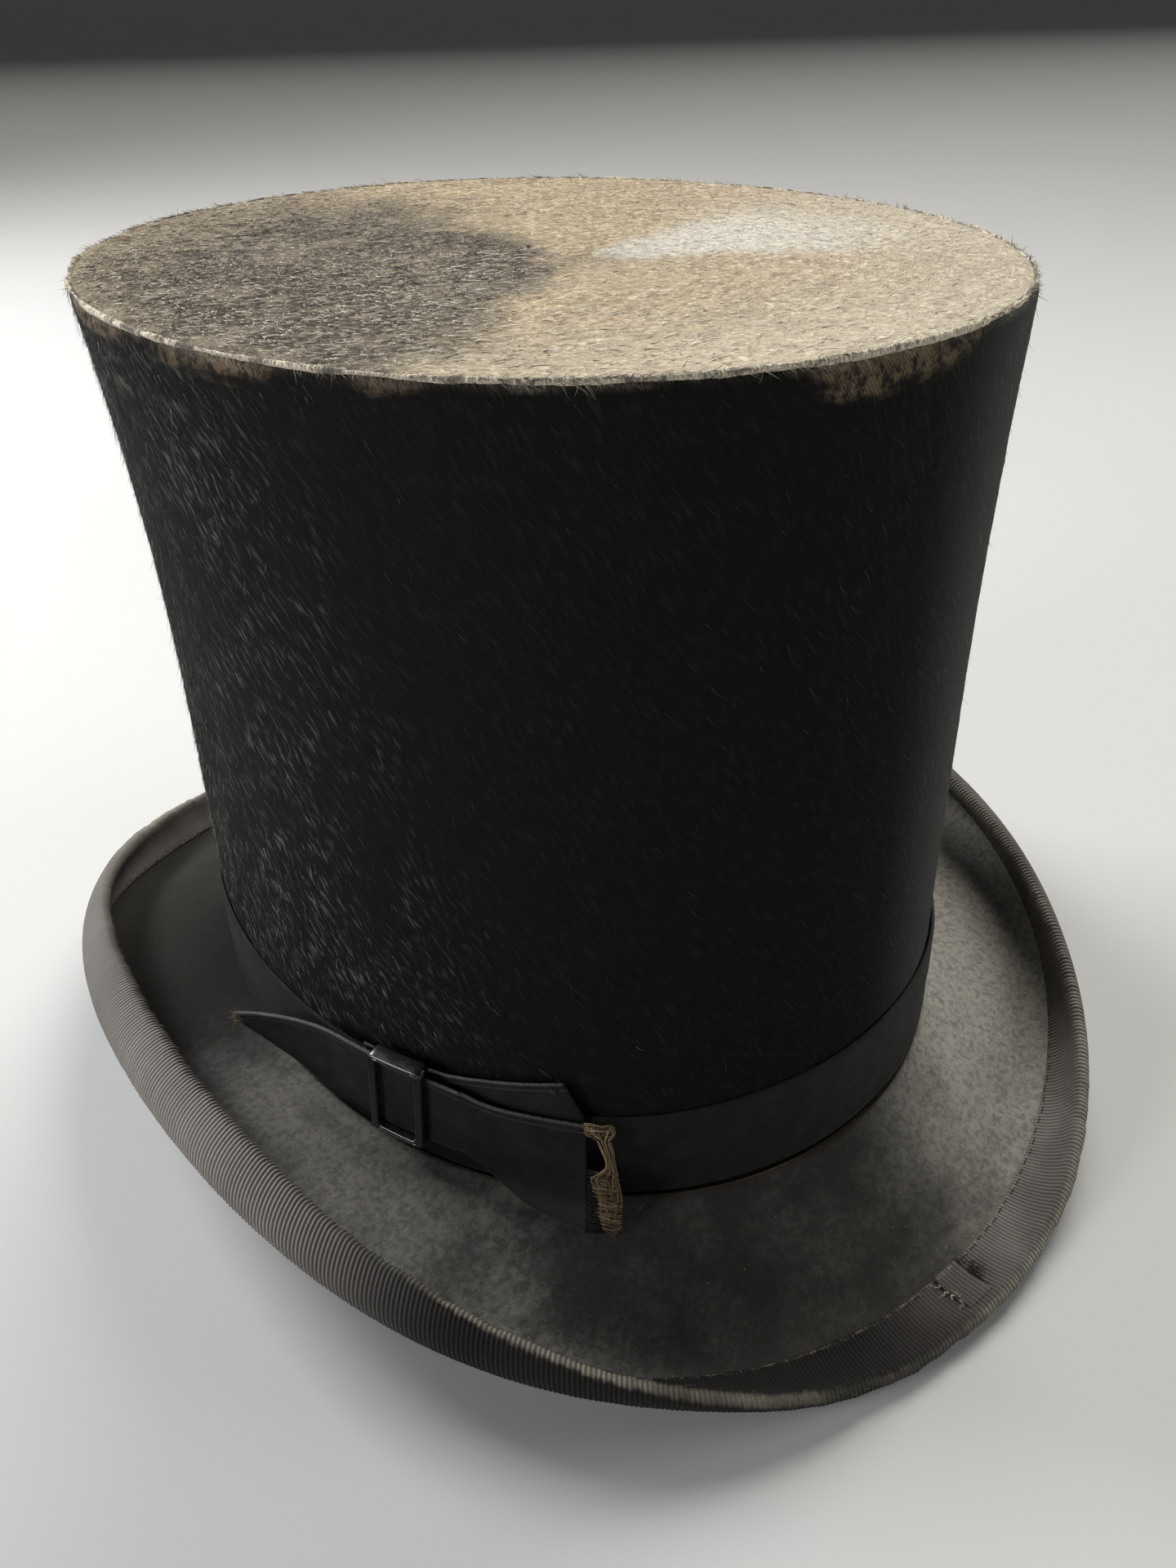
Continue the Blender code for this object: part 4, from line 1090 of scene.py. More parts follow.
def strap_rail(track):
    """Top edge, bottom edge and outward direction of each column of the strap.

    The columns run from the tail's tip, through the buckle and back to the torn end.
    """
    columns = []
    root = track.point(-(TAIL_START + GAP), 0.0, STRAP_INNER)
    outward = track.outward(root)
    forward = np.array([outward[1], -outward[0], 0.0])
    for share in np.linspace(1.0, 0.0, 50)[:-1]:
        high = blend(STRAP_HIGH - 0.0002, TAIL_TIP_HIGH, share ** 1.5)
        low = keys([0.0, 0.25, 1.0], [STRAP_LOW, STRAP_LOW + 0.0004, TAIL_TIP_LOW], share)
        base = root + forward * (TAIL_LENGTH * share) + outward * (TAIL_BOW * share ** 2)
        columns.append((base + UP * high, base + UP * low, outward))
    arc_end = 0.0150
    for along in np.linspace(-TAIL_START, arc_end, 46):
        fall = 0.0018 * max(along - 0.0040, 0.0) / (arc_end - 0.0040)
        top = track.point(along, STRAP_HIGH - fall, STRAP_INNER)
        columns.append((top, track.point(along, STRAP_LOW, STRAP_INNER), track.outward(top)))
    # from the buckle to the torn end: bearing, then height and outset of the top and of the bottom
    stations = np.array([
        (53.8, 0.0296, 0.0037, 0.0112, 0.0037),
        (51.5, 0.0282, 0.0035, 0.0085, 0.0036),
        (48.8, 0.0273, 0.0033, 0.0042, 0.0036),
        (46.6, 0.0268, 0.0031, 0.0012, 0.0045),
        (44.4, 0.0264, 0.0028, 0.0002, 0.0055),
        (41.0, 0.0258, 0.0025, -0.0008, 0.0068),
        (TORN_BEARING, 0.0252, 0.0023, -0.0015, 0.0076),
    ])[::-1].T
    for bearing in np.linspace(53.5, TORN_BEARING, 50):
        around = bearing + np.linspace(-0.9, 0.9, 7)
        high, high_out, low, low_out = [keys(stations[0], row, around).mean() for row in stations[1:]]
        bottom = crown(bearing, 0.0, low_out) + UP * low
        columns.append((crown(bearing, high, high_out), bottom, crown_normal(np.array(bearing))))
    return [np.array(part) for part in zip(*columns)]


def make_strap(track, finish):
    """The strap and its tail as one cloth, with pressed hems and a light ripple in the tail."""
    tops, bottoms, outs = strap_rail(track)
    share = np.linspace(0.0, 1.0, 30)[None]
    face = blend(tops[:, None], bottoms[:, None], share[..., None])
    steps = np.linalg.norm(np.diff(tops[:, :2], axis=0), axis=1)
    along = np.concatenate([[0.0], np.cumsum(steps)])[:, None]
    width = np.linalg.norm(bottoms - tops, axis=1)[:, None]
    depth = width * share
    rest = width - depth
    seam = smooth_step(0.0005, 0.0008, depth) * smooth_step(0.0013, 0.0010, depth)
    hem = 0.00022 * smooth_step(0.0019, 0.0016, depth) + 0.00014 * seam
    hem = hem + 0.00018 * smooth_step(0.0014, 0.0011, rest)
    free = smooth_step(0.062, 0.078, along)
    ripple = 0.0004 * free * lattice_noise(along / 0.12, share, 9, 3, 71)
    ripple = ripple + 0.00010 * lattice_noise(along / 0.12, share, 40, 12, 72)
    edge = smooth_step(0.0, 0.0004, depth) * smooth_step(0.0, 0.0004, rest)
    outer = face + outs[:, None] * (0.00008 + (STRAP - 0.00022) * edge + hem + ripple)[..., None]
    inner = face + outs[:, None] * (ripple - 0.00006)[..., None]
    return add_shell("strap_cloth_with_tail", outer, inner, grid_uv(along, depth), finish, closed=False)


def rounded_rectangle(half_x, half_z, radius):
    """Points round a rectangle with rounded corners, as (n, 2)."""
    spots = []
    corners = ((1.0, 1.0), (-1.0, 1.0), (-1.0, -1.0), (1.0, -1.0))
    for index, (side_x, side_z) in enumerate(corners):
        turn = np.radians(90.0 * index + np.linspace(0.0, 90.0, 7))
        centre = np.array([side_x * (half_x - radius), side_z * (half_z - radius)])
        spots.append(centre + radius * np.stack([np.cos(turn), np.sin(turn)], -1))
    return spread_evenly(np.concatenate(spots), 14)


def spread_evenly(spots, per_side):
    """More points along the straight runs of a rounded rectangle."""
    straight = 0.0025
    made = []
    for here, there in zip(spots, np.roll(spots, -1, axis=0)):
        pieces = per_side if float(np.linalg.norm(there - here)) > straight else 1
        made.extend(blend(here, there, step / pieces) for step in range(pieces))
    return np.array(made)


def make_buckle(track, finish):
    """The slide buckle's frame: two side bars and two rails, with bevels and a worn groove."""
    half_x = BUCKLE_WIDTH / 2.0
    half_z = (BUCKLE_HIGH - BUCKLE_LOW) / 2.0
    middle = (BUCKLE_HIGH + BUCKLE_LOW) / 2.0
    outer = rounded_rectangle(half_x, half_z, 0.0013)
    inner = rounded_rectangle(half_x - BUCKLE_BAR, half_z - BUCKLE_RAIL, 0.0006)
    at_rail = smooth_step(half_z - 0.0024, half_z - 0.0014, np.abs(outer[:, 1]))
    back = blend(BUCKLE_SIDE_BACK, BUCKLE_BACK, at_rail)
    bevel, groove, round_back = 0.00040, 0.00016, 0.0002
    # share of the way from the outer edge to the inner one, and drop below the front face
    front = (
        (0.00, bevel), (0.06, bevel * 0.45), (0.20, 0.0), (0.42, 0.0), (0.50, groove), (0.58, 0.0),
        (0.80, 0.0), (0.94, bevel * 0.45), (1.00, bevel),
    )
    section = [(share, BUCKLE_FRONT - drop) for share, drop in front]
    section += [(1.0, back + round_back), (0.8, back), (0.2, back), (0.0, back + round_back)]
    loops = []
    for share, outset in section:
        place = blend(outer, inner, share)
        loops.append(track.point(place[:, 0] + BUCKLE_LEAN * place[:, 1], middle + place[:, 1], outset))
    sections = np.stack(loops, 1)
    columns, count = sections.shape[:2]
    uv = grid_uv(np.linspace(0.0, 0.08, columns + 1)[:, None], np.linspace(0.0, 0.012, count)[None])
    return add_loops("buckle_frame_enamelled", sections, uv, finish, sharp=50.0)


def make_centre_bar(track, finish):
    """The bar under the strap, with rounded faces."""
    middle = (BUCKLE_HIGH + BUCKLE_LOW) / 2.0
    reach = (BUCKLE_HIGH - BUCKLE_LOW) / 2.0 - BUCKLE_RAIL - GAP
    turn = np.radians((200.0, 180.0, 150.0, 120.0, 90.0, 60.0, 30.0, 0.0, -20.0, -60.0, -90.0, -120.0))
    rise = np.linspace(-reach, reach, 24)[:, None]
    across = CENTRE_BAR_WIDTH / 2.0 * signed_power(np.cos(turn), 0.5)[None]
    deep = BUCKLE_BACK + CENTRE_BAR_DEPTH * (0.5 + 0.5 * signed_power(np.sin(turn), 0.5))[None]
    sections = track.point(across + BUCKLE_LEAN * rise, middle + rise, deep)
    uv = grid_uv(rise, np.linspace(0.0, 0.006, len(turn))[None])
    return add_loops("buckle_bar_enamelled", sections, uv, finish, closed=False)


def make_underlay(finish):
    """The second layer of the band: its slanted end lifts above the strap."""
    start, end, slant = 68.5, 41.0, 2.5
    share = np.linspace(0.0, 1.0, 60)[:, None]
    across = np.linspace(0.0, 1.0, 18)[None]
    high = keys([0.0, 0.45, 1.0], [0.0300, 0.0310, 0.0355], share)
    depth = (high - blend(0.0110, 0.0130, share)) * across
    bearing = blend(start, end, share) - slant * np.minimum(across / 0.42, 1.0) * share ** 6
    wave = 0.00010 * lattice_noise(share * 0.2, across, 80, 6, 81)
    outer = crown(bearing, high - depth, UNDERLAY_INNER + UNDERLAY + wave)
    inside = crown(bearing, high - depth, UNDERLAY_INNER)
    return add_shell("underlay_cloth", outer, inside, grid_uv(share * 0.049, depth), finish, closed=False)


def torn_edges(height):
    """The near and far bearing of the torn threads at a height: a block, a narrow strand, a block."""
    levels = [
        -0.0018, -0.0001, 0.0030, 0.0071, 0.0097, 0.0123, 0.0142, 0.0165, 0.0191, 0.0222, 0.0236, 0.0268,
    ]
    near = [35.6, 36.1, 36.7, 36.8, 37.2, 37.8, 35.9, 35.7, 36.3, 36.8, 38.3, 38.6]
    far = [34.9, 34.2, 33.9, 33.9, 34.1, 34.3, 34.5, 34.8, 34.9, 35.4, 34.7, 34.6]
    return keys(levels, near, height), keys(levels, far, height)


def make_torn_threads(finish, black):
    """The strap's torn end: loose cross threads in two blocks, joined by a narrow strand."""
    r = np.random.default_rng(90)
    low, high = -0.0018, 0.0270
    levels = [-0.0016, 0.0060, 0.0120, 0.0175, 0.0220, 0.0262]
    outsets = [0.0077, 0.0058, 0.0043, 0.0032, 0.0026, 0.0023]
    pale, dark = Threads(), Threads()

    def path(bearing, height, lift):
        outset = keys(levels, outsets, height) + 0.00030 + lift
        return crown(bearing, 0.0, outset) + UP * height[:, None]

    def tapered(width, count):
        """Thinner towards the loose end."""
        return width * (1.0 - 0.35 * np.linspace(0.0, 1.0, count))

    across = np.linspace(0.0, 1.0, 9)
    lower = np.linspace(-0.0015, 0.0138, 62)
    upper = np.linspace(0.0234, 0.0266, 15)
    for level in np.concatenate([lower, upper, lower + 0.0001]):
        near, far = torn_edges(level)
        start = near + r.normal(0.0, 0.20)
        end = blend(far, near, 0.18 * r.random() ** 2) - 0.25 * r.random() ** 2
        fall = -0.0006 * across + 0.00018 * np.sin(across * r.uniform(5.0, 11.0) + r.random() * 6.0)
        height = np.clip(level + fall, low, high)
        lift = 0.0001 + 0.0006 * r.random() + 0.0002 * np.sin(across * 3.0)
        tint = r.random() if level > 0.02 else 0.75 * r.random() ** 1.4
        width = r.uniform(0.00006, 0.00012)
        pale.add(path(blend(start, end, across), height, lift), tapered(width, 9), tint)
        if near < 38.0:
            tucked = blend(38.6, start + 0.2 - 0.9 * r.random() ** 3, across)
            dark.add(path(tucked, height, 0.5 * lift), tapered(0.00016, 9), r.random() * 0.3)
    along = np.linspace(0.0, 1.0, 19)
    for _ in range(54):
        share = r.random()
        top = r.uniform(0.0236, 0.0264)
        foot = r.uniform(-0.0014, 0.0110)
        height = blend(top, foot, along)
        near, far = torn_edges(height)
        place = share + 0.12 * np.sin(along * r.uniform(4.0, 9.0) + r.random() * 6.0)
        bearing = blend(near, far, np.clip(place, 0.0, 1.0)) + r.normal(0.0, 0.05)
        lift = 0.0002 + 0.0006 * r.random()
        width = r.uniform(0.00006, 0.00011)
        pale.add(path(bearing, height, lift), tapered(width, 19), r.random() ** 1.6)
    return pale.build("torn_end_threads", finish), dark.build("torn_end_dark_threads", black)


def make_tack(finish):
    """A small knot of thread: three crossed stitches."""
    centre = crown(TACK_BEARING, TACK_HEIGHT, UNDERLAY_INNER + UNDERLAY + GAP)
    normal = crown_normal(np.array(TACK_BEARING))
    sideways = np.array([-normal[1], normal[0], 0.0])
    share = np.linspace(-1.0, 1.0, 9)[:, None]
    arch = normal * (0.0005 * (1.0 - share ** 2) - 0.0001)
    threads = Threads()
    for turn in np.radians((0.0, 60.0, 120.0)):
        spoke = sideways * math.cos(turn) + UP * math.sin(turn)
        threads.add(centre + spoke * share * 0.0008 + arch, 0.00016, 0.4)
    return threads.build("tack_stitches", finish)


# ------------------------------------------------------------------ inside

def make_inside(mats):
    """The lining, the sweatband and their trimmings. Outsets are negative inside the crown."""
    lining_out = -(PLUSH + SHELL + 2.0 * GAP) - 0.0002
    lining_in = lining_out - LINING
    sweat_in = lining_in - GAP - SWEATBAND
    lining_top = CROWN_HEIGHT - PLUSH - SHELL - 2.0 * GAP
    satin, cotton, band = mats["satin"], mats["cotton"], mats["band"]
    piping_height = lining_top - LINING - GAP - REED_RADIUS
    piping_outset = lining_in - GAP - REED_RADIUS - 0.0001
    reed_outset = lining_out + 0.0002
    return {
        "lining_side": make_lining_side(lining_top, lining_out, satin),
        "sweatband": make_sweatband(lining_in - GAP, mats["leather"]),
        "reed": make_cord("reed_cord", -0.0024, reed_outset, REED_RADIUS, cotton, 900, 150, 0.18),
        "piping": make_cord(
            "lining_piping_cord", piping_height, piping_outset, REED_RADIUS, satin, 720, 110, 0.14),
        "lining_tip": make_lining_tip(lining_top, lining_in - GAP, satin),
        "tape": make_seam_tape(sweat_in - GAP, band),
        "bow": make_bow(sweat_in - 0.0020, band),
        "stitches": make_sweatband_stitches(sweat_in, cotton),
    }


def make_lining_side(top, outset, finish):
    """The side lining, pleated more and more towards the tip."""
    bearing, along = girdle(660)
    height = np.linspace(LINING_LOW, top - LINING - GAP, 34)
    share = np.clip((height - LINING_LOW) / (top - LINING_LOW), 0.0, 1.0)
    fold = np.abs(np.sin(np.radians(bearing * 22.0) + 0.6 * np.sin(np.radians(bearing * 5.0))))
    pleat = -0.0012 * (1.0 - fold) ** 3 * share ** 1.5 - 0.0001
    near = crown(bearing, height, outset + pleat)
    far = crown(bearing, height, outset - LINING + pleat)
    return add_shell("lining_side_satin", near, far, grid_uv(along, height), finish)


def make_sweatband(outset, finish):
    """The leather sweatband, creased, with a stitched groove and thin edges."""
    bearing, along = girdle(420)
    height = np.linspace(-0.0006, SWEATBAND_HIGH, 26)
    crease = 0.00022 * lattice_noise(bearing / 360.0, height / SWEATBAND_HIGH, 40, 4, 101)
    thickness = SWEATBAND * np.concatenate([[0.5], np.ones(24), [0.4]])
    groove = 0.00025 * smooth_step(0.0012, 0.0, np.abs(height - STITCH_HEIGHT))
    near = crown(bearing, height, outset)
    far = crown(bearing, height, outset - thickness + groove + crease)
    return add_shell("sweatband_hide", near, far, grid_uv(along, height), finish)


def make_lining_tip(top, outset, finish):
    """The oval of satin under the tip, gathered a little towards its edge."""
    bearing, along = girdle(300)
    share = np.linspace(0.015, 1.0, 30)
    gather = 0.00022 * np.sin(np.radians(bearing * 60.0)) * smooth_step(0.55, 1.0, share)
    sag = -0.0006 * (1.0 - share ** 2)
    lower = crown(bearing, top, outset - 0.0003) * (1.0, 1.0, 0.0) * share[None, :, None]
    lower[..., 2] = FOOT_HEIGHT + top - LINING + sag + gather - 0.0001
    upper = lower + UP * LINING * 0.8
    uv = grid_uv(along, share * TIP_REACH)
    return add_shell("lining_tip_satin", lower, upper, uv, finish)


def make_seam_tape(outset, finish):
    """The tape over the sweatband's butted ends, at the centre of the back."""
    half = 3.2
    bearing = np.linspace(-half, half, 14)[:, None]
    height = np.linspace(0.0020, 0.0440, 30)[None]
    wave = 0.00008 * lattice_noise((bearing + 4.0) / 40.0, height / 0.05, 40, 10, 111)
    edge = smooth_step(half, half - 0.4, np.abs(bearing))
    near = crown(bearing, height, outset)
    far = crown(bearing, height, outset - 0.00015 - 0.00025 * edge + wave)
    uv = grid_uv((bearing + half) / 360.0 * CROWN_GIRTH, height)
    return add_shell("seam_tape_cloth", far, near, uv, finish, closed=False)


def make_bow(outset, finish):
    """A flat ribbon bow: two loops, each bulging, and a knot in the middle."""
    half_width, half_loop, half_knot, thickness = 0.0095, 0.0044, 0.0016, 0.0010
    wall = crown(0.0, 0.0400, outset)
    share = np.linspace(-1.0, 1.0, 49)[:, None]
    far_share = np.abs(share)
    across = np.linspace(-1.0, 1.0, 11)[None]
    knot = smooth_step(0.16, 0.10, far_share)
    spread = np.sin(np.pi * np.minimum(far_share, 0.999) * 0.62)
    reach = blend(blend(half_knot, half_loop, spread), half_knot, knot)
    bulge = 0.35 + 0.65 * np.sin(np.pi * np.minimum(far_share * 0.95 + 0.05, 1.0))
    bulge = thickness * np.maximum(bulge, knot)
    fold = 0.00012 * np.cos(across * np.pi * 3.0)
    x, z, y = np.broadcast_arrays(half_width * share, wall[2] + reach * across, wall[1])
    front = y - bulge * (1.0 - 0.25 * across ** 2) - fold + 0.00012
    near = np.stack([x, y, z], -1)
    far = np.stack([x, front, z], -1)
    return add_shell("sweatband_bow_ribbon", far, near, grid_uv(x, z), finish, closed=False)


def make_sweatband_stitches(face, finish):
    """Running stitches that hold the sweatband to its reed."""
    count = 190
    arch = 0.00018 * np.sin(np.linspace(0.0, np.pi, 6))
    threads = Threads()
    for index in range(count):
        bearing = 360.0 * (index + np.linspace(0.15, 0.75, 6)) / count
        threads.add(crown(bearing, STITCH_HEIGHT, face + 0.0002 - arch), 0.00014, 0.5)
    return threads.build("sweatband_stitches", finish, 4)


# ------------------------------------------------------------------ loose fibres

def level_frame(bearing):
    """Outward and towards-the-back directions on the crown, both level."""
    outward = crown_normal(bearing)
    return outward, np.stack([-outward[:, 1], outward[:, 0], np.zeros(len(outward))], -1)


def make_edge_fibres(finish):
    """Frayed fibres along the seam of the tip."""
    r = np.random.default_rng(201)
    count = 5200
    bearing = r.random(count) * 360.0
    patchy = 0.5 + 0.5 * ring_noise(bearing, 60, 202)
    lift = np.radians(r.uniform(-25.0, 75.0, count))[:, None]
    roots = crown(bearing, CROWN_HEIGHT, -0.0011) + UP * (0.0004 * np.sin(lift) - 0.0007)
    outward, swept = level_frame(bearing)
    size = ((0.0008 + 0.0016 * r.random(count) ** 2) * (0.5 + patchy))[:, None]
    reach = (outward * np.cos(lift) + UP * np.sin(lift)) * 0.55
    reach = (reach + swept * r.uniform(0.4, 1.4, count)[:, None]) * size
    bend = (r.normal(0.0, 0.30, (count, 3)) - UP * 0.3) * size
    radius = r.uniform(0.00004, 0.00009, count)
    keep = r.random(count) < 0.20 + 0.80 * patchy
    tints = r.random(count) * np.clip(1.6 * patchy - 0.3, 0.0, 1.0)
    kept = [part[keep] for part in (roots, reach, bend, radius, tints)]
    return add_fibres("tip_edge_fray", *kept, finish)


def make_side_fibres(finish):
    """Stray nap on the crown's side, brushed down and towards the back.

    Most of it is where the plush is rubbed, on the wearer's left, its grey tints partly painted highlight; a
    group on the right is tinted pale as a painted highlight along the lit edge.
    """
    r = np.random.default_rng(211)
    count = 9000
    rubbed = r.random(count) < 0.55
    bearing = np.where(rubbed, r.normal(112.0, 22.0, count), r.random(count) * 360.0) % 360.0
    # a group tinted pale as a painted highlight on the right side
    pale_sheen_fibres = r.random(count) < 0.22
    bearing = np.where(pale_sheen_fibres, r.normal(310.0, 10.0, count), bearing)
    height = r.uniform(0.030, CROWN_HEIGHT - 0.002, count)
    bearing = np.where(rubbed & ~pale_sheen_fibres, bearing - 130.0 * (0.16 - height), bearing)
    roots = crown(bearing, height, 0.00002)
    outward, swept = level_frame(bearing)
    size = (0.0012 + 0.0026 * r.random(count) ** 2)[:, None]
    reach = swept * r.uniform(0.35, 0.9, count)[:, None] - UP * r.uniform(0.5, 1.1, count)[:, None]
    reach = (reach + outward * r.uniform(0.02, 0.28, count)[:, None]) * size
    bend = r.normal(0.0, 0.16, (count, 3)) * size
    radius = r.uniform(0.000025, 0.00005, count)
    tints = np.where(pale_sheen_fibres, 0.6 + 0.4 * r.random(count), r.random(count) ** 2)
    tints = np.where(pale_sheen_fibres | rubbed, tints, 0.30 * tints)
    return add_fibres("side_nap_fibres", roots, reach, bend, radius, tints, finish)


def make_tip_fibres(name, count, seed, tints, finish, sector=None, stout=0.00004):
    """Curled fibres that stand out of the nap on the tip, all over it or about one bearing."""
    r = np.random.default_rng(seed)
    bearing = r.random(count) * 360.0
    if sector is not None:
        bearing = r.normal(sector, 38.0, count) % 360.0
    share = (np.sqrt(r.random(count)) * 0.985)[:, None]
    spot = crown(bearing, CROWN_HEIGHT, -0.0017) * (1.0, 1.0, 0.0)
    roots = spot * share + UP * (FOOT_HEIGHT + CROWN_HEIGHT - 0.00045 + 0.0003 * share ** 2)
    outward = unit(spot)
    around = np.stack([-outward[:, 1], outward[:, 0], np.zeros(count)], -1)
    size = 0.0006 + 0.0024 * r.random(count) ** 3
    reach = (around + outward * r.normal(0.1, 0.5, count)[:, None]) * size[:, None]
    reach[:, 2] = size * r.uniform(0.05, 0.30, count)
    bend = r.normal(0.0, 0.50, (count, 3)) * size[:, None]
    bend[:, 2] = -reach[:, 2] * r.uniform(0.3, 0.9, count)
    radius = stout + 0.00005 * r.random(count) ** 2
    return add_fibres(name, roots, reach, bend, radius, blend(*tints, r.random(count)), finish)


def make_rim_fibres(finish):
    """Short frays of the ribbon along the rim of the brim."""
    r = np.random.default_rng(231)
    count = 2400
    bearing = r.random(count) * 360.0
    turn = np.radians(r.normal(70.0, 28.0, count))
    face = RIBBON_FACE - 0.0001
    roots = rim(bearing, turn, face)
    away = unit(rim(bearing, turn, face + 0.001) - roots)
    ahead = unit(rim(bearing + 0.2, turn, face) - rim(bearing - 0.2, turn, face))
    size = (0.0003 + 0.0007 * r.random(count) ** 2)[:, None]
    reach = (away * 0.7 + ahead * r.normal(0.0, 0.9, count)[:, None]) * size
    bend = r.normal(0.0, 0.35, (count, 3)) * size
    radius = r.uniform(0.000025, 0.00005, count)
    roots[:, 2] = np.maximum(roots[:, 2], 0.0012)
    return add_fibres("rim_fray", roots, reach, bend, radius, r.random(count) * 0.8, finish)


def make_join_threads(finish, black):
    """Loose threads at the ribbon's join: a dark slit with frays at its open end, pale frays at the other."""
    r = np.random.default_rng(241)
    pale, dark = Threads(), Threads()

    def path(bearing, from_rim, rise):
        return brim(bearing, np.clip(from_rim, 0.0026, 0.0165), RIBBON_FACE + RIBBON + 0.0001 + rise)

    steps = np.linspace(0.0, 1.0, 12)
    for index in range(3):
        bearing = JOIN_START - 0.08 * index + 0.09 * np.sin(steps * 7.0 + 2.0 * index) * steps
        from_rim = blend(0.0036 + 0.001 * index, RIBBON_WIDTH + 0.0003, steps)
        dark.add(path(bearing, from_rim, -0.0004 + 0.0001 * steps), 0.00011, 0.0)
    steps = np.linspace(0.0, 1.0, 8)
    for _ in range(22):
        start = JOIN_START + r.normal(0.0, 0.12)
        place = r.uniform(0.0050, RIBBON_WIDTH + 0.0004)
        bearing = start - r.uniform(0.2, 1.5) * steps
        from_rim = place + r.normal(0.0, 0.0012) * steps + 0.0005 * np.sin(steps * 5.0 + r.random() * 6.0)
        rise = -0.0003 * steps + 0.0007 * np.sin(steps * np.pi) * r.random()
        dark.add(path(bearing, from_rim, rise), 0.00009, 0.2 * r.random())
    for _ in range(26):
        start = JOIN_END + r.normal(0.0, 0.15)
        place = r.uniform(0.0034, 0.0120)
        bearing = start + r.normal(0.0, 0.6) * steps
        from_rim = place + r.normal(0.0, 0.0006) * steps + 0.0003 * np.sin(steps * 9.0 + r.random() * 6.0)
        rise = -0.0003 + 0.0004 * np.sin(steps * np.pi) * r.random()
        pale.add(path(bearing, from_rim, rise), 0.00006, r.random())
    return pale.build("join_pale_threads", finish, 4), dark.build("join_dark_threads", black, 4)


def make_binding_stitches(finish):
    """Small stitches along the inner edge of the binding, on the top face."""
    count = 250
    share = np.linspace(0.0, 1.0, 6)
    lift = RIBBON_FACE - 0.0001 + 0.00012 * np.sin(np.pi * share)
    threads = Threads()
    for index in range(count):
        bearing = 360.0 * (index + 0.15 + 0.62 * share) / count
        from_rim = RIBBON_WIDTH - 0.0009 + 0.0002 * math.sin(index * 1.7)
        threads.add(brim(bearing, from_rim, lift), 0.00011, 0.35 + 0.3 * math.sin(index * 2.3))
    return threads.build("binding_stitches", finish, 4)


def make_tail_fray(track, finish):
    """A tan tuft where the tail's point has worn through."""
    r = np.random.default_rng(251)
    count = 150
    tops, bottoms, outs = strap_rail(track)
    along = unit((tops[0] - tops[4]) * (1.0, 1.0, 0.0))
    back = r.uniform(0.0, 0.0022, count)[:, None]
    roots = (tops[0] + bottoms[0]) / 2.0 - along * back
    roots = roots + outs[0] * r.uniform(0.0, 0.0006, count)[:, None]
    roots[:, 2] += r.uniform(-0.0012, 0.0012, count)
    size = (0.0005 + 0.0012 * r.random(count))[:, None]
    reach = (along * 0.6 + r.normal(0.0, 0.55, (count, 3))) * size
    bend = r.normal(0.0, 0.4, (count, 3)) * size
    radius = r.uniform(0.00004, 0.00008, count)
    return add_fibres("tail_point_fray", roots, reach, bend, radius, r.random(count), finish)


# ------------------------------------------------------------------ assembly

def piece(made, body, slot, *nodes):
    """Attach a visual piece to the body it moves with, and hide the parts it stands for. The slot is not
    used.
    """
    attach(made, body)
    if nodes:
        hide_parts(*nodes)
    return made


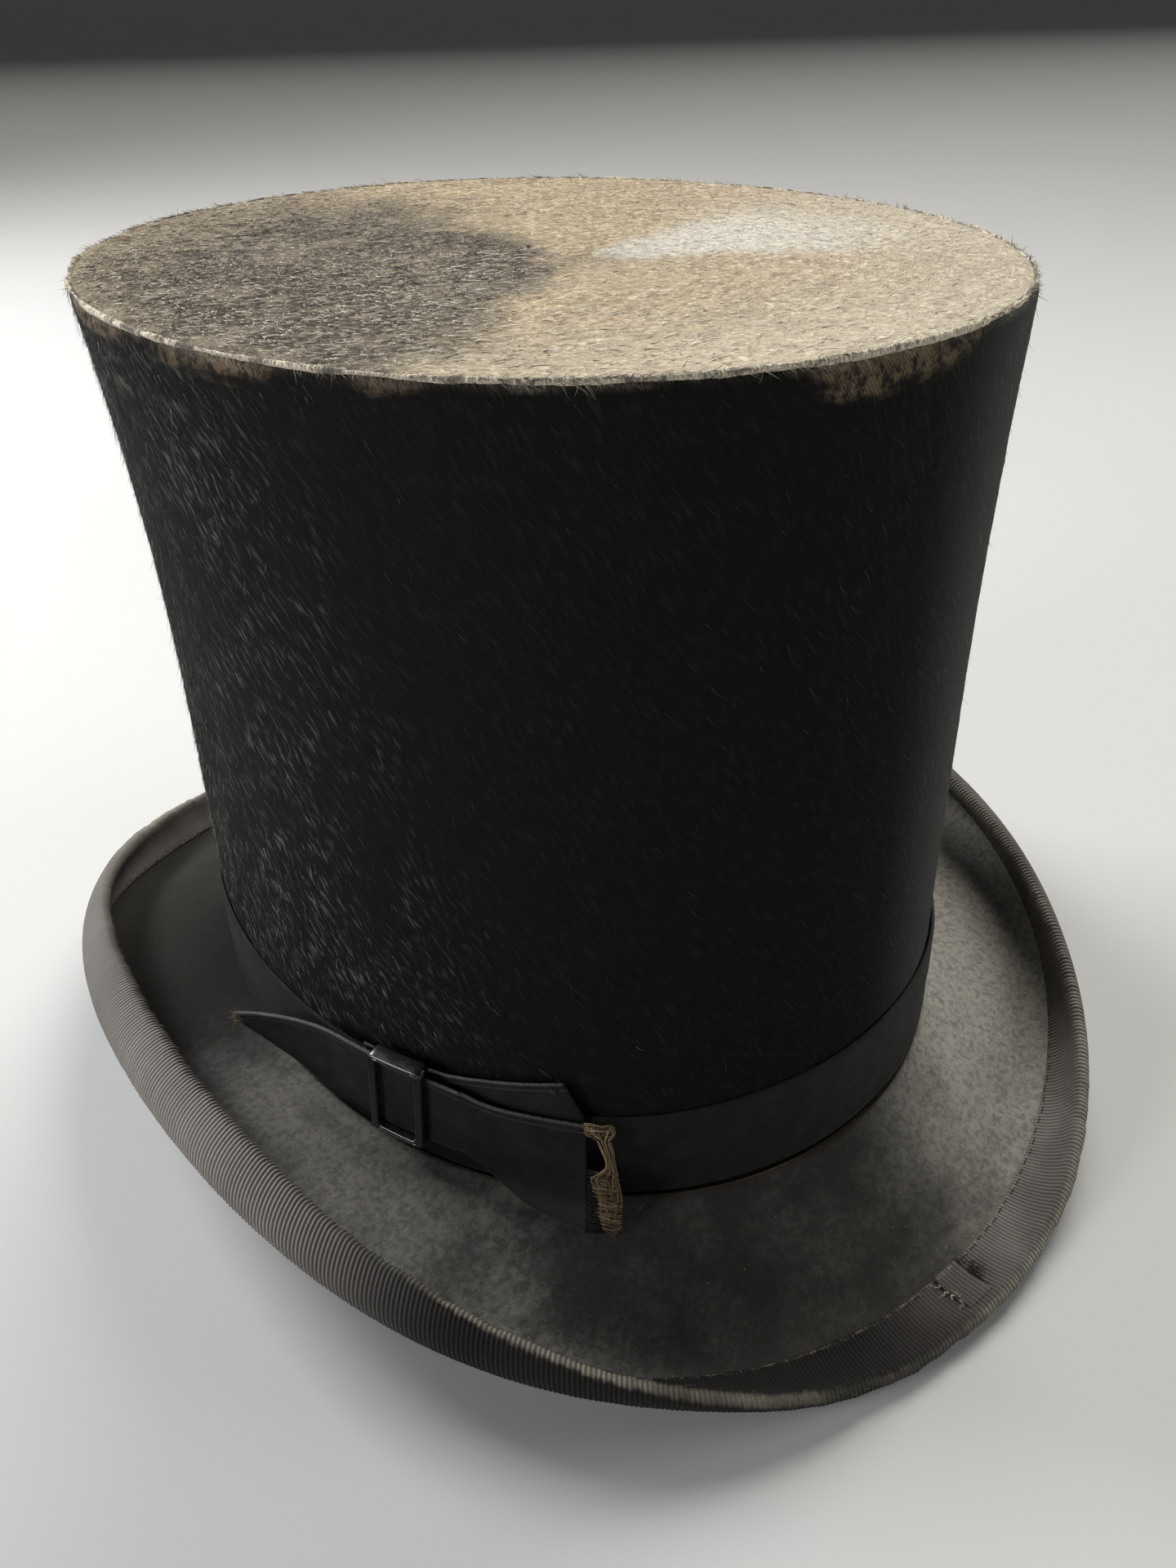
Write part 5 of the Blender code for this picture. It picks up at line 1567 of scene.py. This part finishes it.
def build_hat():
    """Make every piece, and attach all but the strap to the body it moves with."""
    mats = main_materials()
    black, pale, tan = mats["black"], mats["pale"], mats["tan"]
    seam = seam_finish()
    layer = BOARD_HALF + GAP

    def on_hat(made, slot, *nodes):
        return piece(made, "hat", slot, *nodes)

    # crown
    side = on_hat(make_side_plush(mats["side"]), "black_plush", "side_plush")
    tip = on_hat(make_tip_plush(mats["tip"]), "worn_tip_plush", "tip_plush")
    on_hat(make_tip_seam(seam), "worn_edge_seam", "tip_edge_seam")

    # brim
    upper = make_brim_layer("upper_brim_felt", 0.0003, layer + CLOTH, layer, mats["felt"], relief=0.00008)
    on_hat(upper, "brim_cloth", "upper_brim_cloth")
    under = make_brim_layer(
        "under_brim_felt", CLOTH_START, -layer, -layer - CLOTH, mats["felt"], relief=-0.00005, seed=55)
    on_hat(under, "brim_cloth", "under_brim_cloth")
    board = make_brim_layer(
        "brim_board_shellacked", 0.0, BOARD_HALF, -BOARD_HALF, mats["board"], 16, 240)
    on_hat(board, "shellacked_board", "brim_board")
    binding = on_hat(make_binding(mats["ribbon"]), "binding_grosgrain", "brim_binding")
    join = on_hat(make_join(mats["ribbon"]), "binding_grosgrain", "binding_join")
    for threads in make_join_threads(pale, black):
        on_hat(threads, "frayed_threads")
    on_hat(make_binding_stitches(black), "sewing_thread")

    # band, strap and buckle
    band = on_hat(make_hatband(mats["band"]), "band_cloth", "hatband")
    track = Track()
    underlay = on_hat(make_underlay(mats["strap"]), "band_cloth", "strap_underlay")
    on_hat(make_tack(black), "sewing_thread", "strap_tack")
    torn, torn_dark = make_torn_threads(tan, black)
    on_hat(torn, "frayed_threads", "strap_frayed_end")
    on_hat(torn_dark, "frayed_threads")
    piece(make_buckle(track, mats["enamel"]), "buckle", "black_enamel", "buckle_frame")
    piece(make_centre_bar(track, mats["enamel"]), "buckle", "black_enamel", "buckle_centre_bar")
    strap = make_strap(track, mats["strap"])
    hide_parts("hatband_strap", "strap_tail")
    bend_start = track.point(-(TAIL_START - 0.0030), 0.020, STRAP_INNER)
    bend_end = track.point(-(TAIL_START + 0.0040), 0.020, STRAP_INNER)
    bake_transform(strap)
    piece(make_tail_fray(track, tan), "tail", "frayed_threads")

    # inside
    inside = make_inside(mats)
    for key, slot, *nodes in (
        ("lining_side", "satin_lining", "lining_side"),
        ("lining_tip", "satin_lining", "lining_tip"),
        ("piping", "satin_lining", "lining_piping"),
        ("sweatband", "sweatband_leather", "sweatband"),
        ("reed", "cotton_cord", "sweatband_reed"),
        ("tape", "sewing_thread", "sweatband_seam_tape"),
        ("bow", "sewing_thread", "sweatband_bow"),
        ("stitches", "sewing_thread"),
    ):
        on_hat(inside[key], slot, *nodes)

    # loose fibres
    on_hat(make_edge_fibres(mats["fray"]), "frayed_threads")
    on_hat(make_side_fibres(mats["grey"]), "black_plush")
    tip_fibres = (
        make_tip_fibres("tip_loose_fibres", 9000, 221, (0.3, 1.0), pale),
        make_tip_fibres("tip_dark_fibres", 4200, 222, (0.0, 1.0), black, 112.0),
        make_tip_fibres("tip_pale_curls", 1500, 223, (0.7, 1.0), pale, 95.0, 0.00006),
    )
    for fibres in tip_fibres:
        on_hat(fibres, "worn_tip_plush")
    on_hat(make_rim_fibres(mats["rim"]), "frayed_threads")

    # parts that keep their own shape
    for node, key in (
        ("crown_shell", "board"),
        ("tip_board", "board"),
        ("crown_foot_collar", "linen"),
        ("rim_cord", "cotton"),
    ):
        finishes = bpy.data.objects[node].data.materials
        finishes.clear()
        finishes.append(mats[key])


# ------------------------------------------------------------------ studio

def aim(obj, place, target):
    """Put a lamp at a place, pointed at a target."""
    obj.location = place
    obj.rotation_mode = "QUATERNION"
    obj.rotation_quaternion = (Vector(target) - Vector(place)).to_track_quat("-Z", "Y")


def area_light(name, place, target, size, power, colour):
    """A rectangular lamp."""
    data = bpy.data.lights.new(name, "AREA")
    data.shape = "RECTANGLE"
    data.size, data.size_y = size
    data.energy = power
    data.color = colour
    made = link(bpy.data.objects.new(name, data))
    aim(made, place, target)
    return made


def make_studio():
    """A curved sweep for the floor and wall, a soft sky and three small windows."""
    half, front, back, radius = 9.0, 6.0, 7.0, 2.5
    turn = np.radians(np.linspace(0.0, 90.0, 25))
    reach = np.concatenate([[-front], back + radius * np.sin(turn), [back + radius]])[:, None]
    rise = np.concatenate([[0.0], radius * (1.0 - np.cos(turn)), [7.0]])[:, None]
    away = unit(np.array([CAMERA_AIM[0], CAMERA_AIM[1], 0.0]))
    sideways = np.array([-away[1], away[0], 0.0])
    points = np.stack([away * reach + sideways * side + UP * rise for side in (-half, half)], 1)
    mesh = bpy.data.meshes.new("studio_floor")
    faces = [(low, low + 1, low + 3, low + 2) for low in range(0, 2 * len(reach) - 2, 2)]
    mesh.from_pydata(points.reshape(-1, 3).tolist(), [], faces)
    mesh.shade_smooth()
    mesh.materials.append(floor_finish())
    link(bpy.data.objects.new("studio_floor", mesh))
    middle = (0.0, 0.0, 0.10)
    sun = bpy.data.lights.new("soft_sky", "SUN")
    sun.energy = 4.2
    sun.angle = math.radians(42.0)
    sun.color = (1.0, 0.965, 0.90)
    aim(link(bpy.data.objects.new("soft_sky", sun)), (-0.84, -0.55, 0.85), middle)
    area_light("left_window", (0.45, -1.15, 1.05), middle, (0.6, 0.6), 22.0, (0.97, 0.98, 1.0))
    area_light("side_window", (1.35, -0.20, 0.55), middle, (0.5, 0.5), 9.0, (0.97, 0.98, 1.0))
    area_light("right_window", (-0.95, 0.75, 0.60), middle, (0.6, 0.8), 4.6, (0.97, 1.0, 0.98))
    world = bpy.data.worlds.new("studio_air")
    world.use_nodes = True
    air = world.node_tree.nodes["Background"].inputs
    air["Color"].default_value = (0.85, 0.86, 0.88, 1.0)
    air["Strength"].default_value = 0.07
    bpy.context.scene.world = world


def make_camera():
    """The camera, from its place, its aim and its up direction."""
    data = bpy.data.cameras.new("camera")
    data.sensor_fit = "AUTO"
    data.sensor_width = 36.0
    data.lens = CAMERA_LENS
    data.clip_start = 0.01
    data.clip_end = 60.0
    made = link(bpy.data.objects.new("camera", data))
    back = -Vector(CAMERA_AIM).normalized()
    up = Vector(CAMERA_UP).normalized()
    right = up.cross(back).normalized()
    up = back.cross(right)
    turn = Matrix((right, up, back)).transposed()
    made.matrix_world = Matrix.Translation(CAMERA_PLACE) @ turn.to_4x4()
    bpy.context.scene.camera = made


make_camera()
build_hat()
make_studio()
bpy.context.scene.view_settings.view_transform = "Standard"
